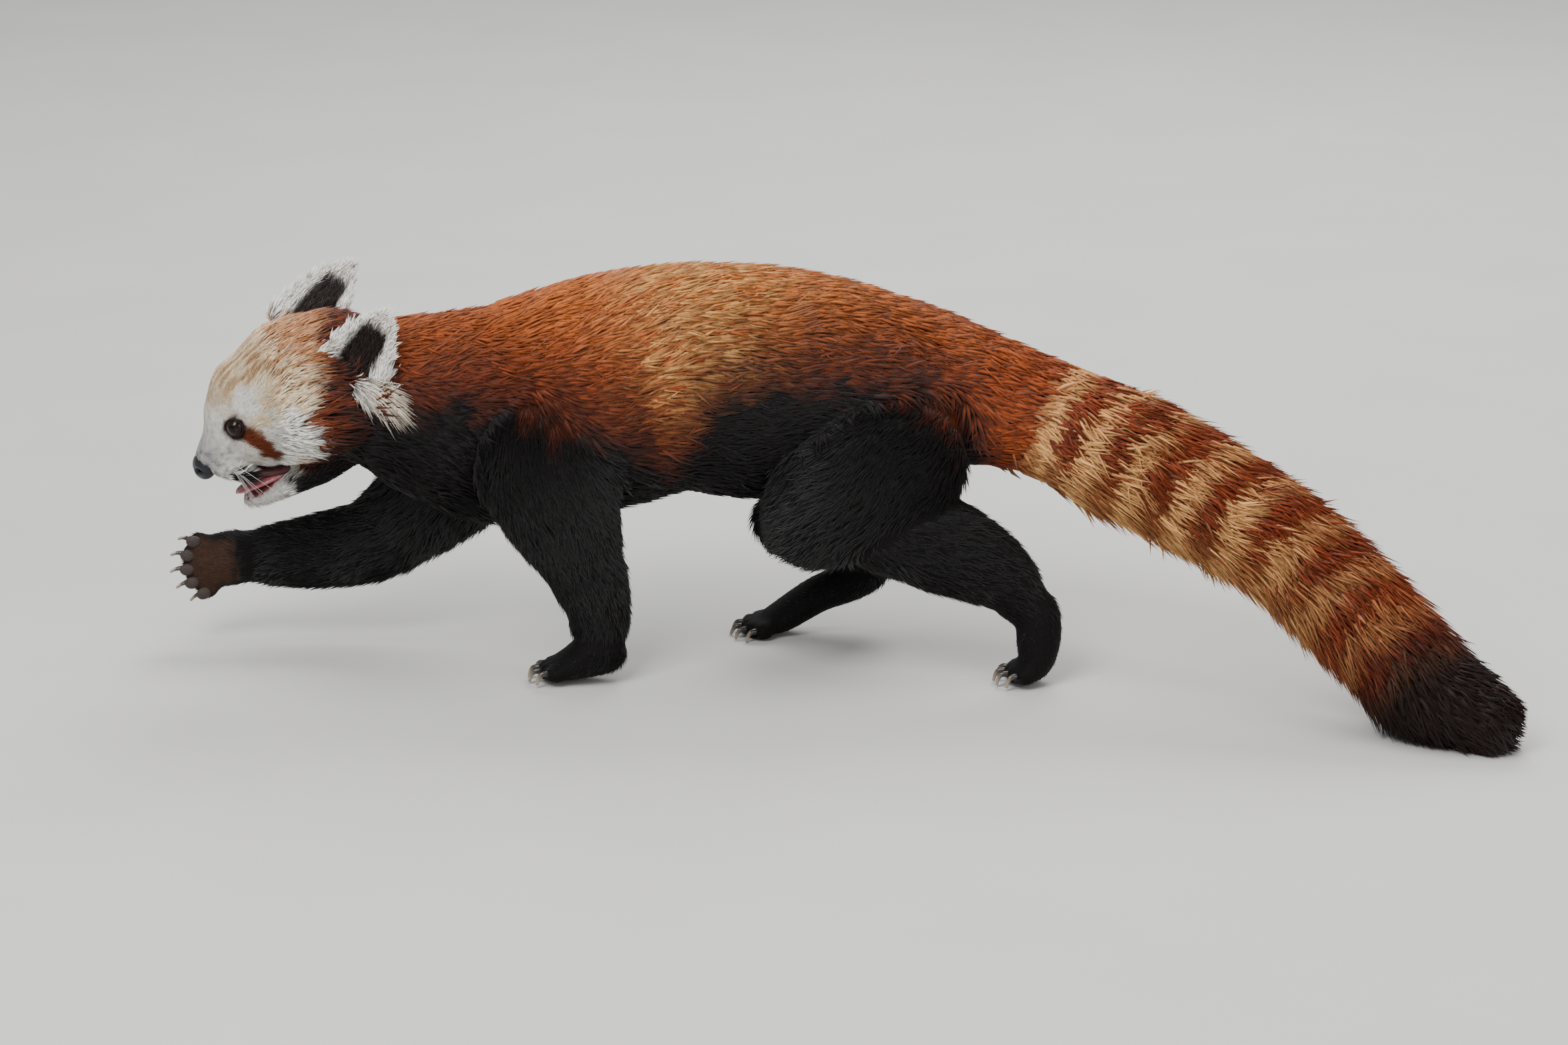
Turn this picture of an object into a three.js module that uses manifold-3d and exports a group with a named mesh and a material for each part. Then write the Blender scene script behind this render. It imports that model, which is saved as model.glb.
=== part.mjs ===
// A red panda walking, life size, in millimetres, +Z up. It faces -X and its left side faces -Y.
// The origin is on the floor under the middle of the animal's overall box.
import * as THREE from 'three';
import { mergeVertices } from 'three/addons/utils/BufferGeometryUtils.js';
import Module from 'manifold-3d';

const wasm = await Module();
wasm.setup();

// Driving dimensions
const GAP = 0.3;               // clearance between neighbouring pieces
const FLOOR_SHIFT = 0;         // height of the soles' plane
const HEAD_AT = new THREE.Vector3(-399, 0, 197);
const HEAD_TURN = { roll: 3, pitch: -8, yaw: 15 };   // degrees: nose down and towards the left side
const EYE = { radius: 8, ahead: 47, up: -3, side: 26 };
const EAR = { length: 64, width: 27, thick: 7, cup: 12, root: 9 };
const LOCK = { lengths: 2, flatness: 0.3 };
const CLAW = { length: 15, radius: 2.6 };
const TOE = { radius: 8.6, length: 19 };

// Colours read from the photograph
const COAT = {
  rust: 0x8a3d14, buff: 0xb5753a, black: 0x120c0a, cream: 0xe0cdb0, white: 0xece5d8,
  nose: 0x15151a, eye: 0x1a0d08, tongue: 0xb06a70, tailEnd: 0x24110c,
};

const v3 = (x, y, z) => new THREE.Vector3(x, y, z);
const rad = THREE.MathUtils.degToRad;

// One closed BufferGeometry as a solid.
function solidOf(geometry) {
  const bare = new THREE.BufferGeometry();
  bare.setAttribute('position', geometry.getAttribute('position').clone());
  if (geometry.index) bare.setIndex(geometry.index.clone());
  const merged = mergeVertices(bare, 1e-4);
  const solid = new wasm.Manifold(new wasm.Mesh({
    numProp: 3,
    vertProperties: new Float32Array(merged.attributes.position.array),
    triVerts: new Uint32Array(merged.index.array),
  }));
  return solid;
}

const join = (solids) => solids.reduce((whole, piece) => whole.add(piece));

// The largest closed body of a solid.
function largest(solid) {
  const bodies = solid.decompose();
  return bodies.reduce((best, body) => (body.volume() > best.volume() ? body : best));
}

// How full a loft is at a share t of its length, when both ends are rounded over a share of it
function rounded(t, share) {
  if (share === 0) return 1;
  const inside = Math.min(1, Math.min(t, 1 - t) / share);
  return 0.45 + 0.55 * Math.sqrt(1 - (1 - inside) * (1 - inside));
}

// The course of a line of stations: where it is, which way it runs, its side and up ways and its
// half widths at a share t of its length. A station is { at, side, up, down }: its centre, the half
// width to each side, and the half heights.
function courseOf(stations, lateral = v3(0, 1, 0)) {
  const smooth = (points) => new THREE.CatmullRomCurve3(points, false, 'catmullrom', 0.5);
  const line = smooth(stations.map((s) => s.at));
  const sizes = smooth(stations.map((s) => v3(s.side, s.up, s.down)));
  return (t) => {
    const ahead = line.getTangent(t);
    const side = lateral.clone().addScaledVector(ahead, -lateral.dot(ahead)).normalize();
    const above = side.clone().cross(ahead).normalize();
    if (above.z + 0.001 * above.x < 0) above.negate();
    return { centre: line.getPoint(t), ahead, side, above, half: sizes.getPoint(t) };
  };
}

// A tube along a line of stations. A cylinder's grid gives the faces; its caps close the ends.
function loft(stations, { around = 14, along = 12, grow = 0, lateral = v3(0, 1, 0), round = 0 } = {}) {
  const course = courseOf(stations, lateral);
  const shape = new THREE.CylinderGeometry(1, 1, 1, around, along);
  const points = shape.attributes.position;
  for (let i = 0; i < points.count; i++) {
    const t = THREE.MathUtils.clamp(0.5 - points.getY(i), 0, 1);
    const angle = Math.atan2(points.getZ(i), points.getX(i));
    const reach = Math.hypot(points.getX(i), points.getZ(i));
    const { centre, ahead, side, above, half } = course(t);
    half.multiplyScalar(rounded(t, round));
    const height = Math.sin(angle) > 0 ? half.y : half.z;
    centre.addScaledVector(side, (half.x + grow) * reach * Math.cos(angle));
    centre.addScaledVector(above, (height + grow) * reach * Math.sin(angle));
    if (t === 0) centre.addScaledVector(ahead, -grow);
    if (t === 1) centre.addScaledVector(ahead, grow);
    points.setXYZ(i, centre.x, centre.y, centre.z);
  }
  return facingOut(shape);
}

// A lock of long hair: a flat blade with four sides from root through bend to tip, widest a third
// of the way along and drawn to a point, its flat side across.
function lock(root, bend, tip, across, width, grow = 0) {
  const path = new THREE.QuadraticBezierCurve3(root, bend, tip);
  const point = tip.clone().sub(path.getPoint(1 - 1 / LOCK.lengths)).normalize();
  const shape = new THREE.ConeGeometry(1, 1, 4, LOCK.lengths);
  const points = shape.attributes.position;
  for (let i = 0; i < points.count; i++) {
    const t = THREE.MathUtils.clamp(points.getY(i) + 0.5, 0, 1);
    const reach = Math.hypot(points.getX(i), points.getZ(i)) > 1e-6 ? 1 : 0;
    const angle = Math.atan2(points.getZ(i), points.getX(i));
    const ahead = path.getTangent(t);
    const side = across.clone().addScaledVector(ahead, -across.dot(ahead)).normalize();
    const above = side.clone().cross(ahead);
    const full = 0.72 + 1.25 * t - 1.97 * t * t;
    const place = path.getPoint(t).addScaledVector(point, t === 1 ? 4 * grow : 0);
    place.addScaledVector(side, reach * Math.cos(angle) * ((full * width) / 2 + grow));
    place.addScaledVector(above, reach * Math.sin(angle) * ((full * width * LOCK.flatness) / 2 + grow));
    points.setXYZ(i, place.x, place.y, place.z);
  }
  return facingOut(shape);
}

// The same faces with their order turned round.
function turnedOut(shape) {
  const copy = shape.clone();
  const index = copy.index.array;
  for (let i = 0; i < index.length; i += 3) [index[i + 1], index[i + 2]] = [index[i + 2], index[i + 1]];
  return copy;
}

// The solid of a shape whose faces may have come out the wrong way round.
function facingOut(shape) {
  const solid = solidOf(shape);
  return solid.volume() > 0 ? solid : solidOf(turnedOut(shape));
}

// Even random numbers from 0 to 1, the same at each run
function seeded(seed) {
  let state = seed;
  return () => {
    state = (state * 1664525 + 1013904223) % 4294967296;
    return state / 4294967296;
  };
}

const station = (x, y, z, side, up, down = up) => ({ at: v3(x, y, z), side, up, down });

function ball(centre, sx, sy, sz, around = 12, rows = 8) {
  const shape = new THREE.SphereGeometry(1, around, rows);
  shape.scale(sx, sy, sz);
  shape.translate(centre.x, centre.y, centre.z);
  return solidOf(shape);
}

// Head frame: nose towards -X, left side towards -Y, up +Z
const headPose = new THREE.Matrix4().compose(
  HEAD_AT,
  new THREE.Quaternion().setFromEuler(
    new THREE.Euler(rad(HEAD_TURN.roll), rad(HEAD_TURN.pitch), rad(HEAD_TURN.yaw), 'ZYX')),
  v3(1, 1, 1));
const posed = (solid) => solid.transform([...headPose.elements]);

// Head, in its own frame: ahead is the distance in front of the head's centre.
const skullStation = (ahead, centre, side, up, down) => station(-ahead, 0, centre, side, up, down);
function skull(grow = 0) {
  return loft([
    skullStation(-62, 10, 44, 46, 50),
    skullStation(-44, 8, 57, 57, 55),
    skullStation(-20, 6, 65, 60, 57),
    skullStation(4, 2, 62, 58, 53),
    skullStation(25, -3, 48, 49, 46),
    skullStation(40, -8, 36, 43, 40),
    skullStation(50, -12, 28, 30, 36),
    skullStation(57, -16, 23, 19, 32),
    skullStation(63, -20, 20, 10, 27),
    skullStation(69, -26, 17, 7, 20),
    skullStation(74, -33, 12, 6, 11),
  ], { around: 20, along: 18, grow });
}

function jaw(grow = 0) {
  return loft([
    skullStation(-34, -38, 34, 16, 20),
    skullStation(-12, -48, 34, 16, 19),
    skullStation(8, -56, 30, 13, 14),
    skullStation(26, -63, 23, 8, 10),
    skullStation(39, -67, 16, 5, 7),
    skullStation(48, -68, 9, 3, 4),
  ], { around: 12, along: 9, grow });
}

function tongueBody(grow = 0) {
  return loft([
    skullStation(0, -47, 10, 5, 5),
    skullStation(22, -53, 12, 4, 4),
    skullStation(42, -58, 10, 3, 3),
    skullStation(52, -61, 5, 1.6, 1.6),
  ], { around: 8, along: 5, grow });
}

function nosePad(grow = 0) {
  const pad = ball(v3(-72, 0, -36), 8.5 + grow, 12 + grow, 11 + grow, 12, 8);
  if (grow) return pad;
  const nostrils = [-1, 1].map((side) => ball(v3(-80, side * 6.5, -38), 3.4, 2.6, 2.2, 6, 4));
  return nostrils.reduce((left, hole) => left.subtract(hole), pad);
}

function eyeBall(side, grow = 0) {
  const at = v3(-EYE.ahead, side * EYE.side, EYE.up);
  const r = EYE.radius + grow;
  return ball(at, r, r, r, 12, 8);
}

// A socket's rim, the upper and lower lids round one eye
function lids(side) {
  const at = v3(-EYE.ahead + 1, side * (EYE.side - 3.5), EYE.up);
  return ball(at, EYE.radius + 2.2, EYE.radius + 1.4, EYE.radius + 1.8, 12, 8);
}

// An ear: a cupped leaf, from a box whose grid runs up and across it. Each ear has its own way up
// and way that it faces, in the head's frame.
const EAR_WAYS = {
  '-1': { root: v3(32, -50, 24), up: v3(36, -22, 50), facing: v3(-0.5, -0.86, 0.1) },
  '1': { root: v3(18, 36, 44), up: v3(48, 20, 34), facing: v3(-0.5, -0.72, 0.5) },
};
function ear(side, grow = 0) {
  const up = EAR_WAYS[side].up.clone().normalize();
  const facing = EAR_WAYS[side].facing.clone();
  facing.addScaledVector(up, -facing.dot(up)).normalize();
  const across = up.clone().cross(facing);
  const { root } = EAR_WAYS[side];
  const shape = new THREE.BoxGeometry(2, 1, 1, 6, 1, 7);
  const points = shape.attributes.position;
  for (let i = 0; i < points.count; i++) {
    const v = points.getX(i);
    const u = points.getZ(i) + 0.5;
    const face = points.getY(i) * 2;
    const half = EAR.width * Math.pow(Math.max(0, 1 - Math.pow(u, 2.3)), 0.8) + 2 + grow;
    const thick = (EAR.thick * (1 - 0.4 * u) * (0.5 + 0.5 * Math.sqrt(1 - v * v))) / 2 + grow;
    const hollow = EAR.cup * (1 - v * v) * (1 - 0.5 * u * u);
    const height = u * (EAR.length + EAR.root) - EAR.root + (u > 0.99 ? grow : 0);
    const place = root.clone().addScaledVector(across, v * half).addScaledVector(up, height);
    place.addScaledVector(facing, face * thick - hollow);
    points.setXYZ(i, place.x, place.y, place.z);
  }
  return facingOut(shape);
}

// The cheek ruff and the fringe behind each ear: locks that root in the head and lie back and out
const RUFF = { count: 6, length: 40, width: 23, stand: 13, low: -64, high: 12 };
const EAR_FRINGE = { count: 3, length: 44, width: 13 };
function ruff(side, grow = 0) {
  const random = seeded(side > 0 ? 11 : 23);
  const locks = [];
  for (let k = 0; k < RUFF.count; k++) {
    const turn = rad(RUFF.low + ((RUFF.high - RUFF.low) * k) / (RUFF.count - 1));
    const out = v3(0, side * Math.cos(turn), Math.sin(turn));
    const base = v3(2 + 9 * random(), 0, 4);
    const root = base.clone().addScaledVector(v3(0, out.y * 50, out.z * 43), 1);
    const length = RUFF.length * (0.85 + 0.3 * random());
    const bend = root.clone().add(v3(length * 0.4, 0, -3)).addScaledVector(out, RUFF.stand * 1.25);
    const tip = root.clone().add(v3(length, 0, -9)).addScaledVector(out, RUFF.stand * (0.9 + 0.3 * random()));
    const across = v3(1, 0, 0).cross(out);
    locks.push(lock(root, bend, tip, across, RUFF.width, grow));
  }
  for (let k = 0; k < EAR_FRINGE.count; k++) {
    const root = v3(30 + 7 * k, side * (50 - 2 * k), 18 - 5 * k);
    const length = EAR_FRINGE.length * (0.85 + 0.3 * random());
    const bend = root.clone().add(v3(length * 0.5, side * 13, -2));
    const tip = root.clone().add(v3(length, side * 15, -16 - 4 * k));
    locks.push(lock(root, bend, tip, v3(0.3, 0, 1), EAR_FRINGE.width, grow));
  }
  return join(locks);
}

// Trunk and tail: one line of stations from the nape to the tip of the tail
const TRUNK = [
  station(-384, 0, 206, 44, 46, 50),
  station(-345, 0, 204, 54, 58, 66),
  station(-300, 0, 200, 62, 68, 84),
  station(-260, 0, 196, 73, 79, 96),
  station(-220, 0, 198, 82, 86, 98),
  station(-175, 0, 205, 87, 91, 96),
  station(-127, 0, 212, 88, 92, 92),
  station(-78, 0, 213, 88, 92, 95),
  station(-30, 0, 212, 86, 88, 96),
  station(18, 0, 209, 82, 79, 86),
  station(62, 0, 205, 73, 68, 70),
  station(104, -3, 198, 61, 59, 60),
];
const TAIL = [
  station(146, -10, 186, 56, 55),
  station(187, -27, 171, 56, 55),
  station(231, -54, 155, 54, 53),
  station(274, -84, 137, 51, 50),
  station(315, -114, 115, 48, 47),
  station(350, -142, 89, 46, 46),
  station(380, -167, 64, 44, 44),
  station(405, -188, 40, 42, 42),
  station(430, -208, 28, 33, 33),
  station(450, -224, 20, 16, 22),
];
const LINE = [...TRUNK, ...TAIL];
const bodyLine = (grow = 0) => loft(LINE, { around: 20, along: 42, grow });

// The tail's core, half as thick as the coat, and rings of locks that lie back over it
const TAIL_RINGS = { count: 9, round: 6, first: 0.02, last: 0.85, reach: 0.19, width: 55 };
const CORE_SHARE = [1, 1, 0.9, 0.66, 0.52, 0.5, 0.5, 0.5, 0.52, 0.7, 0.96, 0.9];
const thinned = (stations, share) => stations.map((s, k) => {
  const part = share(k);
  return { at: s.at, side: s.side * part, up: s.up * part, down: s.down * part };
});
function coreLine(grow = 0) {
  const first = TRUNK.length - 2;
  const share = (k) => CORE_SHARE[THREE.MathUtils.clamp(k - first, 0, CORE_SHARE.length - 1)];
  return loft(thinned(LINE, share), { around: 20, along: 42, grow });
}

function tailLocks() {
  const random = seeded(5);
  const course = courseOf([TRUNK[TRUNK.length - 1], ...TAIL]);
  const { count, round, first, last, reach, width } = TAIL_RINGS;
  const locks = [];
  const pointOn = (t, angle, share) => {
    const { centre, side, above, half } = course(Math.min(t, 1));
    const height = Math.sin(angle) > 0 ? half.y : half.z;
    centre.addScaledVector(side, half.x * share * Math.cos(angle));
    return centre.addScaledVector(above, height * share * Math.sin(angle));
  };
  for (let ring = 0; ring < count; ring++) {
    const at = first + ((last - first) * ring) / (count - 1);
    for (let k = 0; k < round; k++) {
      const angle = ((k + (ring % 2) / 2 + 0.3 * (random() - 0.5)) / round) * 2 * Math.PI;
      const length = reach * (0.88 + 0.24 * random());
      const root = pointOn(at, angle, 0.42);
      const bend = pointOn(at + length * 0.45, angle, 0.93);
      const tip = pointOn(at + length, angle + 0.12 * (random() - 0.5), 0.95 + 0.04 * random());
      const { ahead } = course(Math.min(at + length / 2, 1));
      const out = bend.clone().sub(course(Math.min(at + length * 0.45, 1)).centre);
      locks.push(lock(root, bend, tip, out.cross(ahead), width * (0.9 + 0.2 * random())));
    }
  }
  return join(locks);
}

// Legs: each length is a line of stations, given once for each limb
const LIMBS = {
  fore_left: {
    upper: [
      station(-222, -40, 220, 26, 36),
      station(-218, -52, 180, 37, 54),
      station(-205, -57, 136, 36, 52),
      station(-192, -57, 100, 29, 38),
    ],
    lower: [
      station(-196, -57, 112, 27, 38),
      station(-185, -57, 84, 27, 35),
      station(-177, -55, 58, 25, 30),
      station(-175, -54, 30, 24, 27),
    ],
    paw: [
      station(-158, -53, 30, 18, 17),
      station(-174, -53, 24, 24, 22),
      station(-194, -53, 14, 26, 16),
      station(-210, -53, 9.5, 22, 11),
    ],
  },
  fore_right: {
    upper: [
      station(-232, 40, 200, 30, 38),
      station(-258, 50, 164, 36, 52),
      station(-292, 55, 120, 34, 50),
      station(-326, 55, 86, 28, 38),
    ],
    lower: [
      station(-310, 55, 97, 28, 39),
      station(-345, 54, 78, 28, 38),
      station(-380, 52, 70, 27, 35),
      station(-412, 50, 67, 25, 31),
      station(-440, 48, 66, 22, 26),
    ],
    paw: [
      station(-430, 48, 67, 19, 22),
      station(-450, 47, 65, 20, 24),
      station(-468, 46, 62, 17, 23),
      station(-480, 45, 60, 13, 18),
    ],
  },
  hind_left: {
    upper: [
      station(74, -40, 202, 26, 38),
      station(44, -56, 176, 38, 62),
      station(6, -62, 146, 40, 62),
      station(-28, -62, 120, 34, 46),
      station(-50, -60, 104, 22, 22),
    ],
    lower: [
      station(-2, -60, 118, 28, 40, 30),
      station(36, -61, 106, 32, 56, 30),
      station(76, -61, 94, 29, 50, 33),
      station(112, -60, 80, 24, 36, 30),
      station(142, -60, 62, 19, 21, 21),
    ],
    paw: [
      station(144, -60, 70, 15, 14),
      station(143, -60, 44, 20, 20),
      station(142, -60, 22, 23, 18),
      station(138, -60, 12, 23, 14),
      station(128, -60, 8.5, 20, 10),
    ],
  },
  hind_right: {
    upper: [
      station(48, 40, 206, 28, 42),
      station(22, 56, 174, 38, 60),
      station(-20, 62, 138, 36, 52),
      station(-50, 64, 106, 28, 36),
    ],
    lower: [
      station(-56, 64, 108, 27, 32),
      station(-28, 67, 88, 28, 34),
      station(6, 70, 72, 25, 29),
      station(34, 72, 58, 20, 21),
    ],
    paw: [
      station(36, 72, 58, 15, 16),
      station(14, 73, 42, 20, 18),
      station(-16, 72, 30, 22, 17),
      station(-44, 70, 13, 23, 15),
      station(-62, 68, 7, 19, 10),
    ],
  },
};
const limbLoft = (stations, grow) => (
  loft(stations, { around: 12, along: 2 * stations.length, grow, round: 0.16 })
);

// Toes and claws fan out from a paw's end. The palm faces along down.
const PAWS = {
  fore_left: { end: v3(-202, -53, 10), ahead: v3(-1, 0.12, -0.12), down: v3(0, 0, -1), spread: 42 },
  fore_right: { end: v3(-470, 45, 60), ahead: v3(-1, -0.05, -0.14), down: v3(-0.2, -1, 0), spread: 44 },
  hind_left: { end: v3(136, -60, 10), ahead: v3(-1, 0.05, -0.12), down: v3(0, 0, -1), spread: 40 },
  hind_right: { end: v3(-56, 68, 7.5), ahead: v3(-1, -0.1, -0.12), down: v3(0, 0, -1), spread: 42 },
};
const TOES = [-1, -0.5, 0, 0.5, 1];
const TOE_SHAPE = [0.72, 0.94, 1, 0.94, 0.76];

function toes(name, grow = 0) {
  const { end, ahead, down, spread } = PAWS[name];
  const forward = ahead.clone().normalize();
  const under = down.clone().addScaledVector(forward, -down.dot(forward)).normalize();
  const across = forward.clone().cross(under);
  const pieces = [];
  TOES.forEach((place, k) => {
    const turn = rad(place * 20);
    const way = forward.clone().multiplyScalar(Math.cos(turn)).addScaledVector(across, Math.sin(turn));
    const root = end.clone().addScaledVector(across, (place * spread) / 2 * 0.74);
    root.addScaledVector(forward, (TOE_SHAPE[k] - 1) * 16);
    const tip = root.clone().addScaledVector(way, TOE.length * TOE_SHAPE[k]);
    const r = TOE.radius * (0.8 + 0.2 * TOE_SHAPE[k]) + grow;
    const toe = loft([
      { at: root, side: r * 0.9, up: r * 0.9, down: r * 0.9 },
      { at: root.clone().lerp(tip, 0.6), side: r, up: r, down: r },
      { at: tip, side: r * 0.5, up: r * 0.5, down: r * 0.5 },
    ], { around: 5, along: 2, lateral: across });
    const knuckle = root.clone().lerp(tip, 0.55);
    const clawTip = tip.clone().addScaledVector(way, CLAW.length * 0.62).addScaledVector(under, 6.5);
    const claw = loft([
      { at: knuckle, side: CLAW.radius, up: CLAW.radius, down: CLAW.radius },
      { at: tip.clone().addScaledVector(way, 5).addScaledVector(under, -1.5), side: 2, up: 2.2, down: 2.2 },
      { at: clawTip, side: 0.4, up: 0.4, down: 0.4 },
    ], { around: 3, along: 2, lateral: across });
    pieces.push(toe, claw);
  });
  return join(pieces);
}

// Keeps what is above the floor.
const onFloor = (solid) => solid.trimByPlane([0, 0, 1], FLOOR_SHIFT);

// Parts a solid by a plane across the way it runs, and keeps one side of it.
function keepSide(solid, point, way, side) {
  const n = way.clone().normalize().multiplyScalar(side);
  return solid.trimByPlane([n.x, n.y, n.z], n.dot(point) + GAP / 2);
}

// Planes that part the trunk and the tail
const CUTS = {
  neck: { at: v3(-292, 0, 200), way: v3(1, 0, -0.18) },
  chest: { at: v3(-150, 0, 200), way: v3(1, 0, 0) },
  belly: { at: v3(-40, 0, 200), way: v3(1, 0, 0.1) },
  rump: { at: v3(112, -5, 196), way: v3(1, -0.16, -0.3) },
};
const TAIL_CUTS = [1, 3, 5, 7].map((k) => ({
  at: TAIL[k].at,
  way: TAIL[k + 1].at.clone().sub(TAIL[k - 1].at),
}));

function between(solid, first, last) {
  let kept = solid;
  if (first) kept = keepSide(kept, first.at, first.way, 1);
  if (last) kept = keepSide(kept, last.at, last.way, -1);
  return largest(kept);
}

const without = (solid, others) => others.reduce((left, other) => left.subtract(other), solid);

const made = new Map();
const skullGrown = posed(skull(GAP));
const tongueGrown = posed(tongueBody(GAP));
const ruffs = posed(ruff(-1)).add(posed(ruff(1)));
const ruffsGrown = posed(ruff(-1, 2 * GAP)).add(posed(ruff(1, 2 * GAP)));
const head = join([posed(skull()), posed(lids(-1)), posed(lids(1)), ruffs]);
const sockets = [posed(nosePad(GAP)), posed(eyeBall(-1, GAP)), posed(eyeBall(1, GAP))];
made.set('head', largest(without(head, sockets)));
made.set('lower_jaw', largest(without(posed(jaw()), [skullGrown, tongueGrown, ruffsGrown])));
made.set('tongue', largest(without(posed(tongueBody()), [skullGrown])));
made.set('nose_pad', posed(nosePad()));
made.set('eye_left', posed(eyeBall(-1)));
made.set('eye_right', posed(eyeBall(1)));
made.set('ear_left', largest(without(posed(ear(-1)), [skullGrown, ruffsGrown])));
made.set('ear_right', largest(without(posed(ear(1)), [skullGrown, ruffsGrown])));

const headAll = join([skullGrown, ruffsGrown, posed(jaw(GAP)), posed(ear(-1, GAP)), posed(ear(1, GAP))]);
const bodyGrown = bodyLine(GAP);
const coreGrown = coreLine(GAP);
const body = onFloor(coreLine().add(tailLocks())).subtract(headAll);
const LENGTHS = ['neck', 'chest', 'belly', 'rump', 'tail_1', 'tail_2', 'tail_3', 'tail_4', 'tail_5'];
const planes = [null, CUTS.neck, CUTS.chest, CUTS.belly, CUTS.rump, ...TAIL_CUTS, null];
LENGTHS.forEach((name, k) => made.set(name, between(body, planes[k], planes[k + 1])));

for (const [limb, lengths] of Object.entries(LIMBS)) {
  const [end, side] = limb.split('_');
  const names = end === 'fore' ? ['upper_arm', 'forearm', 'fore_paw'] : ['thigh', 'shank', 'hind_paw'];
  const cutters = [bodyGrown, coreGrown, headAll];
  const lower = limbLoft(lengths.lower, 0);
  const paw = limbLoft(lengths.paw, 0).add(toes(limb));
  const upperGrown = limbLoft(lengths.upper, GAP);
  const lowerGrown = limbLoft(lengths.lower, GAP);
  const clear = (solid, others) => largest(onFloor(others.reduce((s, o) => s.subtract(o), solid)));
  made.set(`${names[0]}_${side}`, clear(limbLoft(lengths.upper, 0), cutters));
  made.set(`${names[1]}_${side}`, clear(lower, [...cutters, upperGrown]));
  made.set(`${names[2]}_${side}`, clear(paw, [...cutters, upperGrown, lowerGrown]));
}

// Materials
const FINISH = [
  ['head', COAT.cream], ['lower_jaw', COAT.white], ['tongue', COAT.tongue], ['nose_pad', COAT.nose],
  ['eye', COAT.eye], ['ear', COAT.white], ['tail_5', COAT.tailEnd], ['tail', COAT.rust],
  ['neck', COAT.rust], ['chest', COAT.rust], ['belly', COAT.rust], ['rump', COAT.rust], ['', COAT.black],
];
const GLOSSY = ['nose_pad', 'eye', 'tongue'];
function material(name) {
  const [key, color] = FINISH.find(([start]) => name.startsWith(start));
  const roughness = GLOSSY.includes(key) ? 0.25 : 0.85;
  return new THREE.MeshStandardMaterial({ color, roughness, metalness: 0 });
}

// The origin goes to the floor under the middle of the overall box.
const overall = new THREE.Box3();
for (const solid of made.values()) {
  const { min, max } = solid.boundingBox();
  overall.expandByPoint(v3(...min)).expandByPoint(v3(...max));
}
const middle = overall.getCenter(v3(0, 0, 0)).setZ(FLOOR_SHIFT);

const panda = new THREE.Group();
for (const [name, solid] of made) {
  const mesh = solid.getMesh();
  const shape = new THREE.BufferGeometry();
  shape.setAttribute('position', new THREE.BufferAttribute(mesh.vertProperties, 3));
  shape.setIndex(new THREE.BufferAttribute(mesh.triVerts, 1));
  const node = new THREE.Mesh(shape, material(name));
  node.name = name;
  node.position.copy(middle).negate();
  panda.add(node);
}

export default panda;
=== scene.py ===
"""A life-size red panda in mid stride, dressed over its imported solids.

One skin is made from the same named stations as the solids, less the coat's depth, and the coat is
solid mesh over it: thin tapered tufts that follow the lie of the hair. Lengths in the tables are
millimetres in the design frame, and everything that reaches Blender is in metres.
"""
import logging  # noqa: E402
from dataclasses import dataclass, field  # noqa: E402
from enum import Enum, IntEnum  # noqa: E402

import bpy  # noqa: E402
import numpy as np  # noqa: E402
from mathutils import Matrix, Vector  # noqa: E402


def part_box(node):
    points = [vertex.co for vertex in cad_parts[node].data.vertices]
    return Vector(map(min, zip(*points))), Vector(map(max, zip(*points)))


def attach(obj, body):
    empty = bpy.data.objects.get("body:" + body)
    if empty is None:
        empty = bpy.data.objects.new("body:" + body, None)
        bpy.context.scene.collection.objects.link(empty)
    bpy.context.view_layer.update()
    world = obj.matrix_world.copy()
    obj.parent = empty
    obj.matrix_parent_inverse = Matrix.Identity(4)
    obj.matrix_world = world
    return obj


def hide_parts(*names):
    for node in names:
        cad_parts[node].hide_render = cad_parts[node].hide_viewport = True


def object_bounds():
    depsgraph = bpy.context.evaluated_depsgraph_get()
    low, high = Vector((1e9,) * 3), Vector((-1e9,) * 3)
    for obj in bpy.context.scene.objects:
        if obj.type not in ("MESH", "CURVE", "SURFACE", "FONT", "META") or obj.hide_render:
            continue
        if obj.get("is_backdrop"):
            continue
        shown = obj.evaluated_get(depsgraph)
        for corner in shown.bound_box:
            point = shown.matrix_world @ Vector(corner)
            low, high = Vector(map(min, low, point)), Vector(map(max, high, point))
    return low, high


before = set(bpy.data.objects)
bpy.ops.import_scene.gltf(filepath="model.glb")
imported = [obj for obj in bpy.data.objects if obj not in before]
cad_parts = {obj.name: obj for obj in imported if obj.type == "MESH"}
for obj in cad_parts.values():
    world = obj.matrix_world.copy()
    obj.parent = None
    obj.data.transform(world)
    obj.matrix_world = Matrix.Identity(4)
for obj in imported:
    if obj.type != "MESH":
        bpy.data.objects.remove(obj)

LOG = logging.getLogger("red_panda")
Array = np.ndarray

# Driving places, in the design frame
HEAD_AT = np.array([-399.0, 0.0, 197.0])
HEAD_TURN = (3.0, -8.0, 15.0)          # roll, pitch and yaw in degrees
EYE_AT = np.array([-47.0, 26.0, -3.0])   # in the head's frame, for the right eye
EYE_FOLDED = EYE_AT * [-1, 1, 1]         # ahead, out and up, for either eye
EYE_RADIUS = 8.0
LID_GAP = 0.4                            # how far the eyeball lies inside its solid
NOSE_AT = np.array([-71.5, 0.0, -36.0])


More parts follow.
